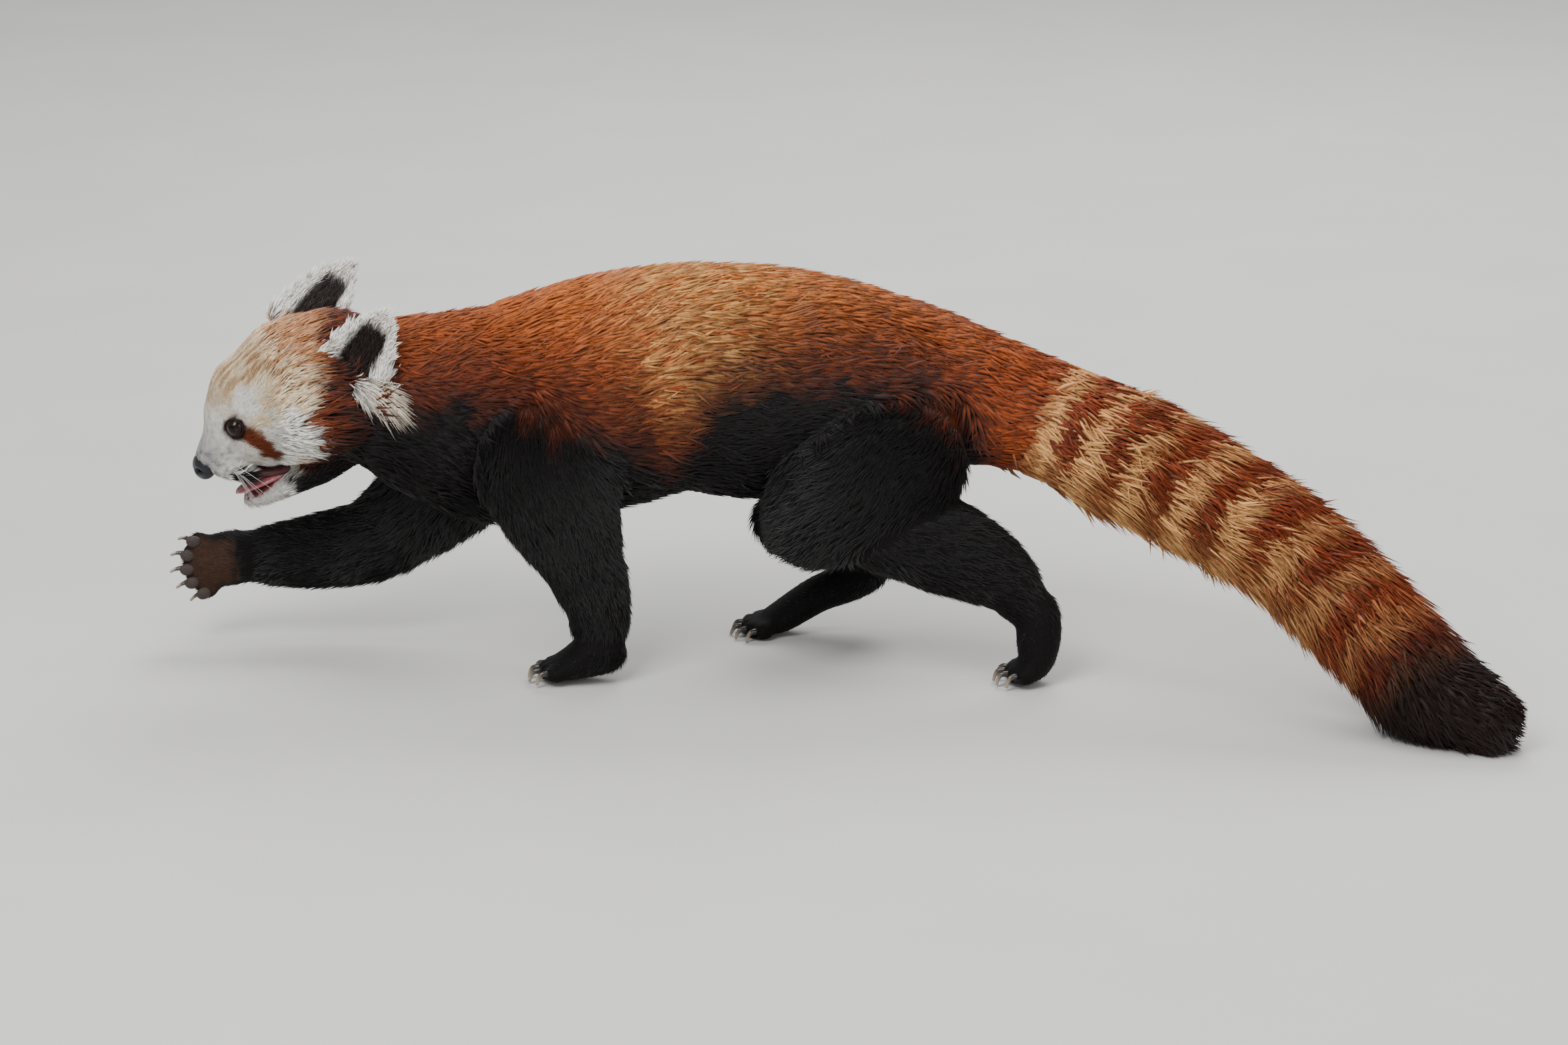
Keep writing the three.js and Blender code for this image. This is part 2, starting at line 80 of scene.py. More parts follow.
class Part(IntEnum):
    """The lengths that the skin is lofted from: trunk and tail in one line, then the rest."""

    LINE = 0
    SKULL = 1
    JAW = 2
    EAR_LEFT = 3
    EAR_RIGHT = 4
    FORE_LEFT = 5
    FORE_RIGHT = 6
    HIND_LEFT = 7
    HIND_RIGHT = 8


# Stations of the trunk and of the tail: x, y, z, half width, half height up and down
TRUNK = np.array([
    [-384, 0, 206, 44, 46, 50], [-345, 0, 204, 54, 58, 66], [-300, 0, 200, 62, 68, 84],
    [-260, 0, 196, 73, 79, 96], [-220, 0, 198, 82, 86, 98], [-175, 0, 205, 87, 91, 96],
    [-127, 0, 212, 88, 92, 92], [-78, 0, 213, 88, 92, 95], [-30, 0, 212, 86, 88, 96],
    [18, 0, 209, 82, 79, 86], [62, 0, 205, 73, 68, 70], [104, -3, 198, 61, 59, 60],
], float)
TAIL = np.array([
    [146, -10, 186, 56, 55, 55], [187, -27, 171, 56, 55, 55], [231, -54, 155, 54, 53, 53],
    [274, -84, 137, 51, 50, 50], [315, -114, 115, 48, 47, 47], [350, -142, 89, 46, 46, 46],
    [380, -167, 64, 44, 44, 44], [405, -188, 40, 42, 42, 42], [430, -208, 28, 33, 33, 33],
    [450, -224, 20, 16, 22, 22],
], float)
# Skull and jaw stations run from the back to the nose: ahead, height, side, up, down
SKULL = np.array([
    [-62, 10, 44, 46, 50], [-44, 8, 57, 57, 55], [-20, 6, 65, 60, 57], [4, 2, 62, 58, 53],
    [25, -3, 48, 49, 46], [40, -8, 36, 43, 40], [50, -12, 28, 30, 36], [57, -16, 23, 19, 32],
    [63, -20, 20, 10, 27], [69, -26, 17, 7, 20], [74, -33, 12, 6, 11],
], float)
JAW = np.array([
    [-34, -38, 34, 16, 20], [-12, -48, 34, 16, 19], [8, -56, 30, 13, 14], [26, -63, 23, 8, 10],
    [39, -67, 16, 5, 7], [48, -68, 9, 3, 4],
], float)
TONGUE = np.array([[0, -47, 10, 5, 5], [22, -53, 12, 4, 4], [42, -58, 10, 3, 3], [52, -61, 5, 1.6, 1.6]])
MOUTH_LINE = np.array([
    [-10, -46, 16, 6, 6], [10, -48, 14, 6, 6], [26, -49, 11, 5, 4], [38, -48, 8, 4, 3], [48, -46, 5, 3, 2],
], float)
# Each limb's three lengths from the body down: x, y, z, half width, half height up and down
LIMB_STATIONS = {
    Part.FORE_LEFT: [
        [[-222, -40, 220, 26, 36, 36], [-218, -52, 180, 37, 54, 54], [-205, -57, 136, 36, 52, 52],
         [-192, -57, 100, 29, 38, 38]],
        [[-196, -57, 112, 27, 38, 38], [-185, -57, 84, 27, 35, 35], [-177, -55, 58, 25, 30, 30],
         [-175, -54, 30, 24, 27, 27]],
        [[-158, -53, 30, 18, 17, 17], [-174, -53, 24, 24, 22, 22], [-194, -53, 14, 26, 16, 16],
         [-210, -53, 9.5, 22, 11, 11]]],
    Part.FORE_RIGHT: [
        [[-232, 40, 200, 30, 38, 38], [-258, 50, 164, 36, 52, 52], [-292, 55, 120, 34, 50, 50],
         [-326, 55, 86, 28, 38, 38]],
        [[-310, 55, 97, 28, 39, 39], [-345, 54, 78, 28, 38, 38], [-380, 52, 70, 27, 35, 35],
         [-412, 50, 67, 25, 31, 31], [-440, 48, 66, 22, 26, 26]],
        [[-430, 48, 67, 19, 22, 22], [-450, 47, 65, 20, 24, 24], [-468, 46, 62, 17, 23, 23],
         [-480, 45, 60, 13, 18, 18]]],
    Part.HIND_LEFT: [
        [[74, -40, 202, 26, 38, 38], [44, -56, 176, 38, 62, 62], [6, -62, 146, 40, 62, 62],
         [-28, -62, 120, 34, 46, 46], [-50, -60, 104, 22, 22, 22]],
        [[-2, -60, 118, 28, 40, 30], [36, -61, 106, 32, 56, 30], [76, -61, 94, 29, 50, 33],
         [112, -60, 80, 24, 36, 30], [142, -60, 62, 19, 21, 21]],
        [[144, -60, 70, 15, 14, 14], [143, -60, 44, 20, 20, 20], [142, -60, 22, 23, 18, 18],
         [138, -60, 12, 23, 14, 14], [128, -60, 8.5, 20, 10, 10]]],
    Part.HIND_RIGHT: [
        [[48, 40, 206, 28, 42, 42], [22, 56, 174, 38, 60, 60], [-20, 62, 138, 36, 52, 52],
         [-50, 64, 106, 28, 36, 36]],
        [[-56, 64, 108, 27, 32, 32], [-28, 67, 88, 28, 34, 34], [6, 70, 72, 25, 29, 29],
         [34, 72, 58, 20, 21, 21]],
        [[36, 72, 58, 15, 16, 16], [14, 73, 42, 20, 18, 18], [-16, 72, 30, 22, 17, 17],
         [-44, 70, 13, 23, 15, 15], [-62, 68, 7, 19, 10, 10]]],
}
LIMBS = {part: [np.array(rows, float) for rows in lengths] for part, lengths in LIMB_STATIONS.items()}
# Each ear's root, way up and way that it faces, in the head's frame
EARS = {
    Part.EAR_LEFT: np.array([(32.0, -50, 24), (36, -22, 50), (-0.5, -0.86, 0.1)]),
    Part.EAR_RIGHT: np.array([(18.0, 36, 44), (48, 20, 34), (-0.5, -0.72, 0.5)]),
}
# Its half width, the depth of its cup, its length with the part buried in the skull, and its thickness
EAR_HALF_WIDTH, EAR_CUP, EAR_LENGTH, EAR_BURIED, EAR_THICKNESS = 27, 12, 71, 9, 9.0
# Each paw's end, the way it points and the way its palm faces, and its spread
PAWS = {
    Part.FORE_LEFT: (np.array([(-202, -53, 10), (-1, 0.12, -0.12), (0, 0, -1)]), 42.0),
    Part.FORE_RIGHT: (np.array([(-470, 45, 60), (-1, -0.05, -0.14), (-0.2, -1, 0)]), 44.0),
    Part.HIND_LEFT: (np.array([(136, -60, 10), (-1, 0.05, -0.12), (0, 0, -1)]), 40.0),
    Part.HIND_RIGHT: (np.array([(-56, 68, 7.5), (-1, -0.1, -0.12), (0, 0, -1)]), 42.0),
}
TOE_PLACES = (-1.0, -0.5, 0.0, 0.5, 1.0)
TOE_SHARES = (0.72, 0.94, 1.0, 0.94, 0.76)
TOE_RADIUS, TOE_LENGTH, CLAW_LENGTH = 8.6, 19.0, 15.0

FLESH_NODES = [
    "head", "lower_jaw", "ear_left", "ear_right", "neck", "chest", "belly", "rump",
    "tail_1", "tail_2", "tail_3", "tail_4", "tail_5",
    "upper_arm_left", "upper_arm_right", "forearm_left", "forearm_right",
    "fore_paw_left", "fore_paw_right",
    "thigh_left", "thigh_right", "shank_left", "shank_right", "hind_paw_left", "hind_paw_right",
]


def turn_matrix(roll: float, pitch: float, yaw: float) -> Array:
    """Rotation by roll about X, then pitch about Y, then yaw about Z.

    Args:
        roll: degrees about X.
        pitch: degrees about Y.
        yaw: degrees about Z.

    Returns:
        The 3 by 3 matrix.
    """
    a, b, c = np.radians([roll, pitch, yaw])
    about_x = np.array([[1, 0, 0], [0, np.cos(a), -np.sin(a)], [0, np.sin(a), np.cos(a)]])
    about_y = np.array([[np.cos(b), 0, np.sin(b)], [0, 1, 0], [-np.sin(b), 0, np.cos(b)]])
    about_z = np.array([[np.cos(c), -np.sin(c), 0], [np.sin(c), np.cos(c), 0], [0, 0, 1]])
    return about_z @ about_y @ about_x


HEAD_MATRIX = turn_matrix(*HEAD_TURN)
# How far past the solids' box hair may reach, its least height, and half a tuft's patch on the map
REACH = 0.018
LOWEST = 0.0003
PATCH = 0.0015
# How far under the skin a tuft roots, in millimetres
ROOT_DEPTH = 1.2


def head_to_design(points: Array) -> Array:
    """Points of the head's frame in the design frame."""
    return (points.reshape(-1, 3) @ HEAD_MATRIX.T + HEAD_AT).reshape(points.shape)


def design_to_head(points: Array) -> Array:
    """Points of the design frame in the head's frame."""
    return (points - HEAD_AT) @ HEAD_MATRIX


def design_shift() -> Array:
    """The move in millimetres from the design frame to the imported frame, read off the left eye."""
    low, high = (np.array(corner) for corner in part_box("eye_left"))
    return (low + high) * 500.0 - head_to_design(EYE_AT * [1, -1, 1])


SHIFT = design_shift()


def to_metres(points: Array) -> Array:
    """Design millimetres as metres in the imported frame."""
    return (points + SHIFT) / 1000.0


def unit(vectors: Array) -> Array:
    """Vectors divided by their lengths."""
    return vectors / np.maximum(np.linalg.norm(vectors, axis=-1, keepdims=True), 1e-9)


def dot(first: Array, second: Array) -> Array:
    """The dot product of each pair of rows."""
    return (first * second).sum(1)


def smoothstep(low: float, high: float, value: Array) -> Array:
    """0 below low, 1 above high, and an S curve between: 3 x squared less 2 x cubed."""
    x = np.clip((value - low) / (high - low), 0, 1)
    return x * x * (3 - 2 * x)


def fade(low: float, high: float, value: Array) -> Array:
    """1 below low, 0 above high, and an S curve between."""
    return 1 - smoothstep(low, high, value)


def circle(count: int) -> Array:
    """Angles spaced evenly round a circle."""
    return np.linspace(0, 2 * np.pi, count, endpoint=False)


def grid(first: Array, second: Array) -> list[Array]:
    """Two grids: the first values down the rows and the second along them."""
    return np.meshgrid(first, second, indexing="ij")


def ball_angles(rows: int, around: int, margin: float) -> list[Array]:
    """Grids of the angle from a ball's pole, from margin to pi less margin, and the angle round it."""
    return grid(np.linspace(margin, np.pi - margin, rows), circle(around))


def ball_grid(rows: int, around: int, margin: float) -> Array:
    """Places on a ball of radius 1 whose pole is on -X, as rows from that pole."""
    polar, turn = ball_angles(rows, around, margin)
    return np.stack([-np.cos(polar), np.sin(polar) * np.cos(turn), np.sin(polar) * np.sin(turn)], -1)


def mix(first: Array, second: Array, share: Array) -> Array:
    """first where share is 0 and second where it is 1, in proportion between."""
    return first + (second - first) * share[..., None]


def srgb(red: int, green: int, blue: int) -> Array:
    """A screen colour, 0 to 255 each, as linear light."""
    value = np.array([red, green, blue]) / 255.0
    return np.where(value <= 0.04045, value / 12.92, ((value + 0.055) / 1.055) ** 2.4)


def waves(points: Array, size: float, seed: int) -> Array:
    """Soft noise about 0: the mean of twelve sines along seeded ways, about size millimetres apart.

    Args:
        points: places in millimetres, one row each.
        size: the usual distance between crests.
        seed: picks the ways and phases.

    Returns:
        One value for each point, mostly between -1 and 1.
    """
    rng = np.random.default_rng(seed)
    ways = unit(rng.normal(size=(12, 3))) * (2 * np.pi / size) * rng.uniform(0.6, 1.6, (12, 1))
    phases = rng.uniform(0, 2 * np.pi, 12)
    return np.sin(points @ ways.T + phases).sum(axis=1) / 3.4


def catmull(values: Array, share: Array) -> tuple[Array, Array]:
    """A smooth line through rows of values, and the way it runs.

    Between two rows it is the cubic whose slope at each row is half the step between that row's
    neighbours; past an end the last step is repeated.

    Args:
        values: one row for each station.
        share: 0 at the first row to 1 at the last.

    Returns:
        The values and their slopes at each share.
    """
    padded = np.vstack([2 * values[0] - values[1], values, 2 * values[-1] - values[-2]])
    place = np.clip(share, 0, 1) * (len(values) - 1)
    row = np.minimum(place.astype(int), len(values) - 2)
    x = (place - row)[:, None]
    p0, p1, p2, p3 = (padded[row + k] for k in range(4))
    m1, m2 = (p2 - p0) / 2, (p3 - p1) / 2
    c2, c3 = -3 * p1 + 3 * p2 - 2 * m1 - m2, 2 * p1 - 2 * p2 + m1 + m2
    return p1 + m1 * x + c2 * x * x + c3 * x ** 3, m1 + 2 * c2 * x + 3 * c3 * x * x


@dataclass
class Course:
    """A line of stations: x, y, z, half width, half height up and half height down."""

    stations: Array
    lateral: Array = field(default_factory=lambda: np.array([0.0, 1.0, 0.0]))

    def at(self, share: Array) -> tuple[Array, Array, Array, Array, Array]:
        """Centre, way ahead, side way, up way and half sizes at each share of the length."""
        value, slope = catmull(self.stations, share)
        ahead = unit(slope[:, :3])
        side = unit(self.lateral - (ahead @ self.lateral)[:, None] * ahead)
        above = unit(np.cross(side, ahead))
        flip = np.where(above[:, 2] + 0.001 * above[:, 0] < 0, -1.0, 1.0)
        return value[:, :3], ahead, side, above * flip[:, None], value[:, 3:6]


@dataclass
class Surface:
    """A closed mesh as arrays: corner places in design millimetres and faces of four corners."""

    points: Array
    quads: Array

    @staticmethod
    def tube(rows: Array) -> "Surface":
        """A tube from a grid of rows by corners, each end closed on its middle.

        Args:
            rows: an array of rows, corners in a row, and x, y, z.

        Returns:
            The closed surface.
        """
        count, around = rows.shape[:2]
        points = np.vstack([rows.reshape(-1, 3), rows[0].mean(axis=0), rows[-1].mean(axis=0)])
        row, k = grid(np.arange(count - 1), np.arange(around))
        following = (k + 1) % around
        sides = np.stack([row * around + k, row * around + following,
                          (row + 1) * around + following, (row + 1) * around + k], -1).reshape(-1, 4)
        ring = np.arange(around)
        after = (ring + 1) % around
        first, last = np.full(around, count * around), np.full(around, count * around + 1)
        start = np.stack([after, ring, first, first], -1)
        end_row = (count - 1) * around
        end = np.stack([end_row + ring, end_row + after, last, last], -1)
        return Surface(points, np.vstack([sides, start, end]))

    def faces(self) -> list[list[int]]:
        """The faces as lists, with the doubled corner of each cap triangle dropped."""
        return [quad[:3] if quad[2] == quad[3] else quad for quad in self.quads.tolist()]

    def placed(self, name: str) -> bpy.types.Object:
        """The surface as a mesh object, in metres."""
        return new_object(name, to_metres(self.points), self.faces())

    @staticmethod
    def joined(surfaces: list["Surface"]) -> "Surface":
        """Several surfaces as one set of points and faces."""
        starts = np.cumsum([0] + [len(s.points) for s in surfaces[:-1]])
        return Surface(np.vstack([s.points for s in surfaces]),
                       np.vstack([s.quads + start for s, start in zip(surfaces, starts)]))


def loft(stations: Array, depth: Array | float = 0.0, along: int = 40, around: int = 32,
         rounding: float = 0.0, lateral: Array | None = None) -> Surface:
    """A tube along stations: centre + side * half width * cos + up * half height * sin, less depth.

    Args:
        stations: rows of x, y, z, half width, half up and half down.
        depth: how far inside the stations' surface it lies, one value or one for each station.
        along: steps along it.
        around: corners round it.
        rounding: the share of the length over which both ends are rounded.
        lateral: the way that the side half width is measured, or across the animal.

    Returns:
        The closed tube.
    """
    inner = stations.copy()
    inner[:, 3:6] = np.maximum(inner[:, 3:6] - np.reshape(depth, (-1, 1)), 1.0)
    course = Course(inner) if lateral is None else Course(inner, lateral)
    share = np.linspace(0, 1, along + 1)
    if rounding:
        share = (1 - np.cos(np.linspace(0, np.pi, along + 1))) / 2
    centre, _, side, above, half = course.at(share)
    if rounding:
        inside = np.clip(np.minimum(share, 1 - share) / rounding, 0, 1)
        half = half * (0.3 + 0.7 * np.sqrt(1 - (1 - inside) ** 2))[:, None]
    angle = circle(around)
    height = np.where(np.sin(angle) > 0, half[:, 1:2], half[:, 2:3])
    rows = (centre[:, None] + side[:, None] * (half[:, :1] * np.cos(angle))[..., None]
            + above[:, None] * (height * np.sin(angle))[..., None])
    return Surface.tube(rows)


def head_stations(rows: Array) -> Array:
    """Stations of ahead, height, side, up and down as x, y, z, side, up and down in the head's frame."""
    return np.column_stack([-rows[:, 0], np.zeros(len(rows)), rows[:, 1:]])


def ear_frame(part: Part) -> tuple[Array, Array, Array, Array]:
    """An ear's root, its way up, the way across it, and the way its cup faces, square to each other."""
    root, up, facing = EARS[part]
    up = unit(up)
    facing = unit(facing - (facing @ up) * up)
    return root, up, np.cross(up, facing), facing


def ear_surface(part: Part) -> Surface:
    """An ear in the design frame: a cupped leaf of rings whose width falls to a point at the tip."""
    root, up, across, facing = ear_frame(part)
    share, angle = grid(np.linspace(0, 0.995, 26), circle(28))
    place = np.cos(angle)
    half = EAR_HALF_WIDTH * np.maximum(0, 1 - share ** 2.3) ** 0.8 + 1.0
    thick = EAR_THICKNESS * (1 - 0.25 * share) / 2
    hollow = EAR_CUP * (1 - place ** 2) * (1 - 0.5 * share ** 2)
    points = (root + across * (place * half)[..., None] + up * (share * EAR_LENGTH - EAR_BURIED)[..., None]
              + facing * (np.sin(angle) * thick - hollow)[..., None])
    return Surface.tube(head_to_design(points))


# Swellings of the muzzle in the head's frame: each whisker pad and the bed of the nose
MUZZLE = [
    (np.array([-54.0, -9.5, -36]), np.array([15.0, 10.5, 10.5])),
    (np.array([-54.0, 9.5, -36]), np.array([15.0, 10.5, 10.5])),
    (np.array([-62.0, 0, -32]), np.array([10.0, 12.5, 11.0])),
]


def ball_surface(at: Array, radii: Array) -> Surface:
    """An ellipsoid in the design frame, from its middle and half sizes in the head's frame."""
    return Surface.tube(head_to_design(at + ball_grid(24, 32, 0.05) * radii))


def toe_frames(part: Part) -> list[tuple[Array, Array, Array, Array, float]]:
    """Each toe's root, tip, way, palm way and radius for a paw."""
    (end, ahead, down), spread = PAWS[part]
    forward = unit(ahead)
    under = unit(down - (down @ forward) * forward)
    across = np.cross(forward, under)
    toes = []
    for place, share in zip(TOE_PLACES, TOE_SHARES):
        turn = np.radians(place * 20)
        way = forward * np.cos(turn) + across * np.sin(turn)
        root = end + across * place * spread * 0.37 + forward * (share - 1) * 16
        toes.append((root, root + way * TOE_LENGTH * share, way, under, TOE_RADIUS * (0.8 + 0.2 * share)))
    return toes


def toe_surfaces(part: Part) -> list[Surface]:
    """Round-ended toes of a paw, a little inside the solid's."""
    surfaces = []
    for root, tip, _, under, radius in toe_frames(part):
        r = radius - 1.6
        rows = np.array([[*root, r, r, r], [*(root * 0.4 + tip * 0.6), r * 1.05, r * 1.05, r * 1.05],
                         [*tip, r * 0.62, r * 0.62, r * 0.62]])
        surfaces.append(loft(rows, 0.0, 10, 14, 0.2, np.cross(unit(tip - root), under)))
    return surfaces


# The skin's depth under the solid's surface at each station of the line: the coat's own depth,
# and half the thickness on the tail
LINE_DEPTH = np.concatenate([
    np.array([9, 12, 14, 15, 15, 15, 15, 15, 15, 15, 15, 17]),
    TAIL[:, 3] * np.array([0.34, 0.42, 0.46, 0.48, 0.48, 0.48, 0.46, 0.42, 0.4, 0.4]),
])
# The skull's middle across and up, in the head's frame
SKULL_MIDDLE = (0, 6)
SKULL_DEPTH = np.array([10, 10, 9, 6, 4, 2.5, 2, 1.5, 1.2, 1, 1])


def add_object(name: str, data: bpy.types.ID) -> bpy.types.Object:
    """A new object in the scene, at the origin."""
    made = bpy.data.objects.new(name, data)
    bpy.context.scene.collection.objects.link(made)
    return made


def smooth_shade(mesh: bpy.types.Mesh) -> None:
    """Shades every face of a mesh smoothly."""
    mesh.polygons.foreach_set("use_smooth", np.full(len(mesh.polygons), True))


def new_object(name: str, points: Array, faces: list) -> bpy.types.Object:
    """A smooth mesh object at the origin from points in metres and faces."""
    mesh = bpy.data.meshes.new(name)
    mesh.from_pydata(points.tolist(), [], faces)
    smooth_shade(mesh)
    mesh.update()
    return add_object(name, mesh)


def paint(mesh: bpy.types.Mesh, colours: Array) -> None:
    """Stores one linear colour for each corner point as the attribute that the finishes read."""
    attribute = mesh.color_attributes.new("tint", "FLOAT_COLOR", "POINT")
    attribute.data.foreach_set("color", np.column_stack([colours, np.ones(len(colours))]).ravel())


def dress(piece: bpy.types.Object, material: bpy.types.Material, slot: str, *nodes: str) -> None:
    """Gives a piece its finish, rides it on the body, and hides the nodes it replaces."""
    piece.data.materials.append(material)
    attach(piece, "root")
    if nodes:
        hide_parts(*nodes)
    LOG.info("%s: %d faces", piece.name, len(piece.data.polygons))


# Finishes


@dataclass(frozen=True)
class Finish:
    """A procedural surface: its colour read from the tint attribute or fixed, varied by noise."""

    name: str
    roughness: float
    colour: tuple[float, float, float] | None = None
    variation: float = 0.2
    grain: float = 300.0
    bump: float = 0.0
    bump_scale: float = 900.0
    cells: bool = False
    sheen: float = 0.0
    coat: float = 0.0
    specular: float = 0.4
    subsurface: float = 0.0

    def material(self) -> bpy.types.Material:
        """Builds the node material.

        Returns:
            The material, its noise on Object coordinates.
        """
        made = bpy.data.materials.new(self.name)
        made.use_nodes = True
        nodes, links = made.node_tree.nodes, made.node_tree.links
        shader = nodes["Principled BSDF"]
        values = {"Specular IOR Level": self.specular, "Sheen Weight": self.sheen, "Sheen Roughness": 0.45,
                  "Coat Weight": self.coat, "Coat Roughness": 0.04,
                  "Subsurface Weight": self.subsurface, "Subsurface Scale": 0.004}
        for name, value in values.items():
            shader.inputs[name].default_value = value
        where = nodes.new("ShaderNodeTexCoord")
        noise = nodes.new("ShaderNodeTexNoise")
        noise.inputs["Scale"].default_value = self.grain
        noise.inputs["Detail"].default_value = 3.0
        links.new(where.outputs["Object"], noise.inputs["Vector"])
        if self.colour is None:
            source = nodes.new("ShaderNodeAttribute")
            source.attribute_name = "tint"
            colour = source.outputs["Color"]
        else:
            source = nodes.new("ShaderNodeRGB")
            source.outputs[0].default_value = (*self.colour, 1)
            colour = source.outputs[0]
        bright = nodes.new("ShaderNodeMapRange")
        ends = {"From Min": 0.3, "From Max": 0.7,
                "To Min": 1 - self.variation, "To Max": 1 + self.variation}
        for name, value in ends.items():
            bright.inputs[name].default_value = value
        links.new(noise.outputs["Fac"], bright.inputs["Value"])
        tone = nodes.new("ShaderNodeHueSaturation")
        links.new(bright.outputs["Result"], tone.inputs["Value"])
        links.new(colour, tone.inputs["Color"])
        links.new(tone.outputs["Color"], shader.inputs["Base Color"])
        rough = nodes.new("ShaderNodeMapRange")
        rough.inputs["To Min"].default_value = max(0.02, self.roughness - 0.08)
        rough.inputs["To Max"].default_value = min(1.0, self.roughness + 0.08)
        links.new(noise.outputs["Fac"], rough.inputs["Value"])
        links.new(rough.outputs["Result"], shader.inputs["Roughness"])
        if self.bump:
            relief = nodes.new("ShaderNodeTexVoronoi" if self.cells else "ShaderNodeTexNoise")
            relief.inputs["Scale"].default_value = self.bump_scale
            links.new(where.outputs["Object"], relief.inputs["Vector"])
            bump = nodes.new("ShaderNodeBump")
            bump.inputs["Strength"].default_value = self.bump
            bump.inputs["Distance"].default_value = 0.0006
            links.new(relief.outputs["Distance" if self.cells else "Fac"], bump.inputs["Height"])
            links.new(bump.outputs["Normal"], shader.inputs["Normal"])
        return made


COAT_FINISH = Finish("coat", 0.64, variation=0.16, grain=420, sheen=0.07, specular=0.18)
SKIN_FINISH = Finish("skin", 0.8, variation=0.25, grain=260, bump=0.6, bump_scale=1400, specular=0.15)
NOSE_FINISH = Finish("nose", 0.32, colour=(0.009, 0.010, 0.014), bump=0.5, cells=True, coat=0.1,
                     specular=0.3)
TONGUE_FINISH = Finish("tongue", 0.34, colour=(0.42, 0.13, 0.14), bump=0.35, bump_scale=1500, coat=0.3,
                       subsurface=0.15)
LINING_FINISH = Finish("mouth", 0.5, colour=(0.07, 0.022, 0.024), bump=0.3, bump_scale=700, coat=0.1,
                       specular=0.3)
EYE_FINISH = Finish("eye", 0.1, variation=0.05, coat=0.12, specular=0.16)
LID_FINISH = Finish("lid", 0.75, colour=(0.022, 0.013, 0.01), bump=0.4, bump_scale=1200, specular=0.12)
CLAW_FINISH = Finish("claw", 0.3, variation=0.12, grain=500, coat=0.2, specular=0.5)
PAD_FINISH = Finish("pad", 0.55, colour=(0.035, 0.022, 0.018), bump=0.6, bump_scale=1000, cells=True)
WHISKER_FINISH = Finish("whisker", 0.35, colour=(0.75, 0.72, 0.68), variation=0.05, specular=0.5)
FLOOR_FINISH = Finish("floor", 0.75, colour=(0.62, 0.61, 0.59), variation=0.02, grain=6, specular=0.2)


# Markings


RUST = srgb(138, 62, 24)
ORANGE = srgb(176, 96, 42)
GOLD = srgb(196, 146, 84)
DARK_RUST = srgb(70, 27, 12)
BLACK = srgb(15, 11, 11)
CREAM = srgb(226, 205, 172)
WHITE = srgb(238, 233, 224)
STREAK = srgb(160, 112, 68)
CROWN = srgb(172, 98, 38)
TEAR = srgb(128, 62, 30)
GREY = srgb(150, 150, 156)
BUFF = srgb(206, 154, 96)
RING = srgb(112, 44, 18)
TAIL_END = srgb(34, 19, 15)
PALM = srgb(78, 52, 38)
EAR_INSIDE = srgb(30, 18, 14)
EYE_RIM = BLACK + (DARK_RUST - BLACK) * 0.4
MOUTH = srgb(120, 62, 62)

# Height of the edge between the red back and the black below, against x
EDGE_X, EDGE_Z = np.array([
    (-400, 196), (-341, 204), (-317, 196), (-278, 206), (-263, 207), (-221, 197), (-173, 184), (-149, 174),
    (-131, 152), (-113, 180), (-94, 204), (-78, 214), (-31, 222), (17, 221), (55, 210), (79, 186),
    (99, 156), (112, 118), (150, 60)]).T
# The first ring's middle on the tail and the distance from ring to ring, in millimetres
RING_START, RING_PITCH = 22.0, 43.0
# The tear mark's middle line: ahead, out to either side, and up
TEAR_LINE = np.array([[45, 34, -9], [38, 37, -14], [33, 37, -22], [28, 34, -32], [25, 28, -46]], float)


def to_line(points: Array, line: Array) -> Array:
    """Distance from each point to a broken line."""
    best = np.full(len(points), np.inf)
    for start, end in zip(line[:-1], line[1:]):
        run = end - start
        share = np.clip(((points - start) @ run) / (run @ run), 0, 1)
        best = np.minimum(best, np.linalg.norm(points - (start + share[:, None] * run), axis=1))
    return best


def body_markings(points: Array) -> Array:
    """Red back, golden flank and black underside, parted at a height that follows the body."""
    x, z = points[:, 0], points[:, 2]
    rough = waves(points, 34, 1) * 6 + waves(points, 12, 2) * 4
    edge = np.interp(x, EDGE_X, EDGE_Z) + rough
    colour = mix(RUST, ORANGE, smoothstep(215, 295, z + rough))
    gold = np.exp(-((x + 96 + 0.25 * (z - 230)) / 50) ** 2) * smoothstep(150, 225, z)
    gold += 0.4 * np.exp(-((x + 60) / 120) ** 2) * smoothstep(262, 300, z)
    fleck = 0.62 + 0.5 * waves(points, 13, 3) + 0.35 * waves(points, 5, 9)
    colour = mix(colour, GOLD, np.clip(gold * fleck, 0, 0.85))
    colour = mix(colour, DARK_RUST, 0.9 * fade(4, 76, z - edge))
    # painted shade: the front end of the trunk, round the roots of the ears, darkened towards dark rust
    colour = mix(colour, DARK_RUST, 0.85 * fade(-368, -344, x + rough))
    neck = fade(-372, -300, x)
    colour = mix(colour, DARK_RUST, 0.7 * neck * fade(236, 262, z))
    return mix(colour, BLACK, fade(-10, 14, z - edge))


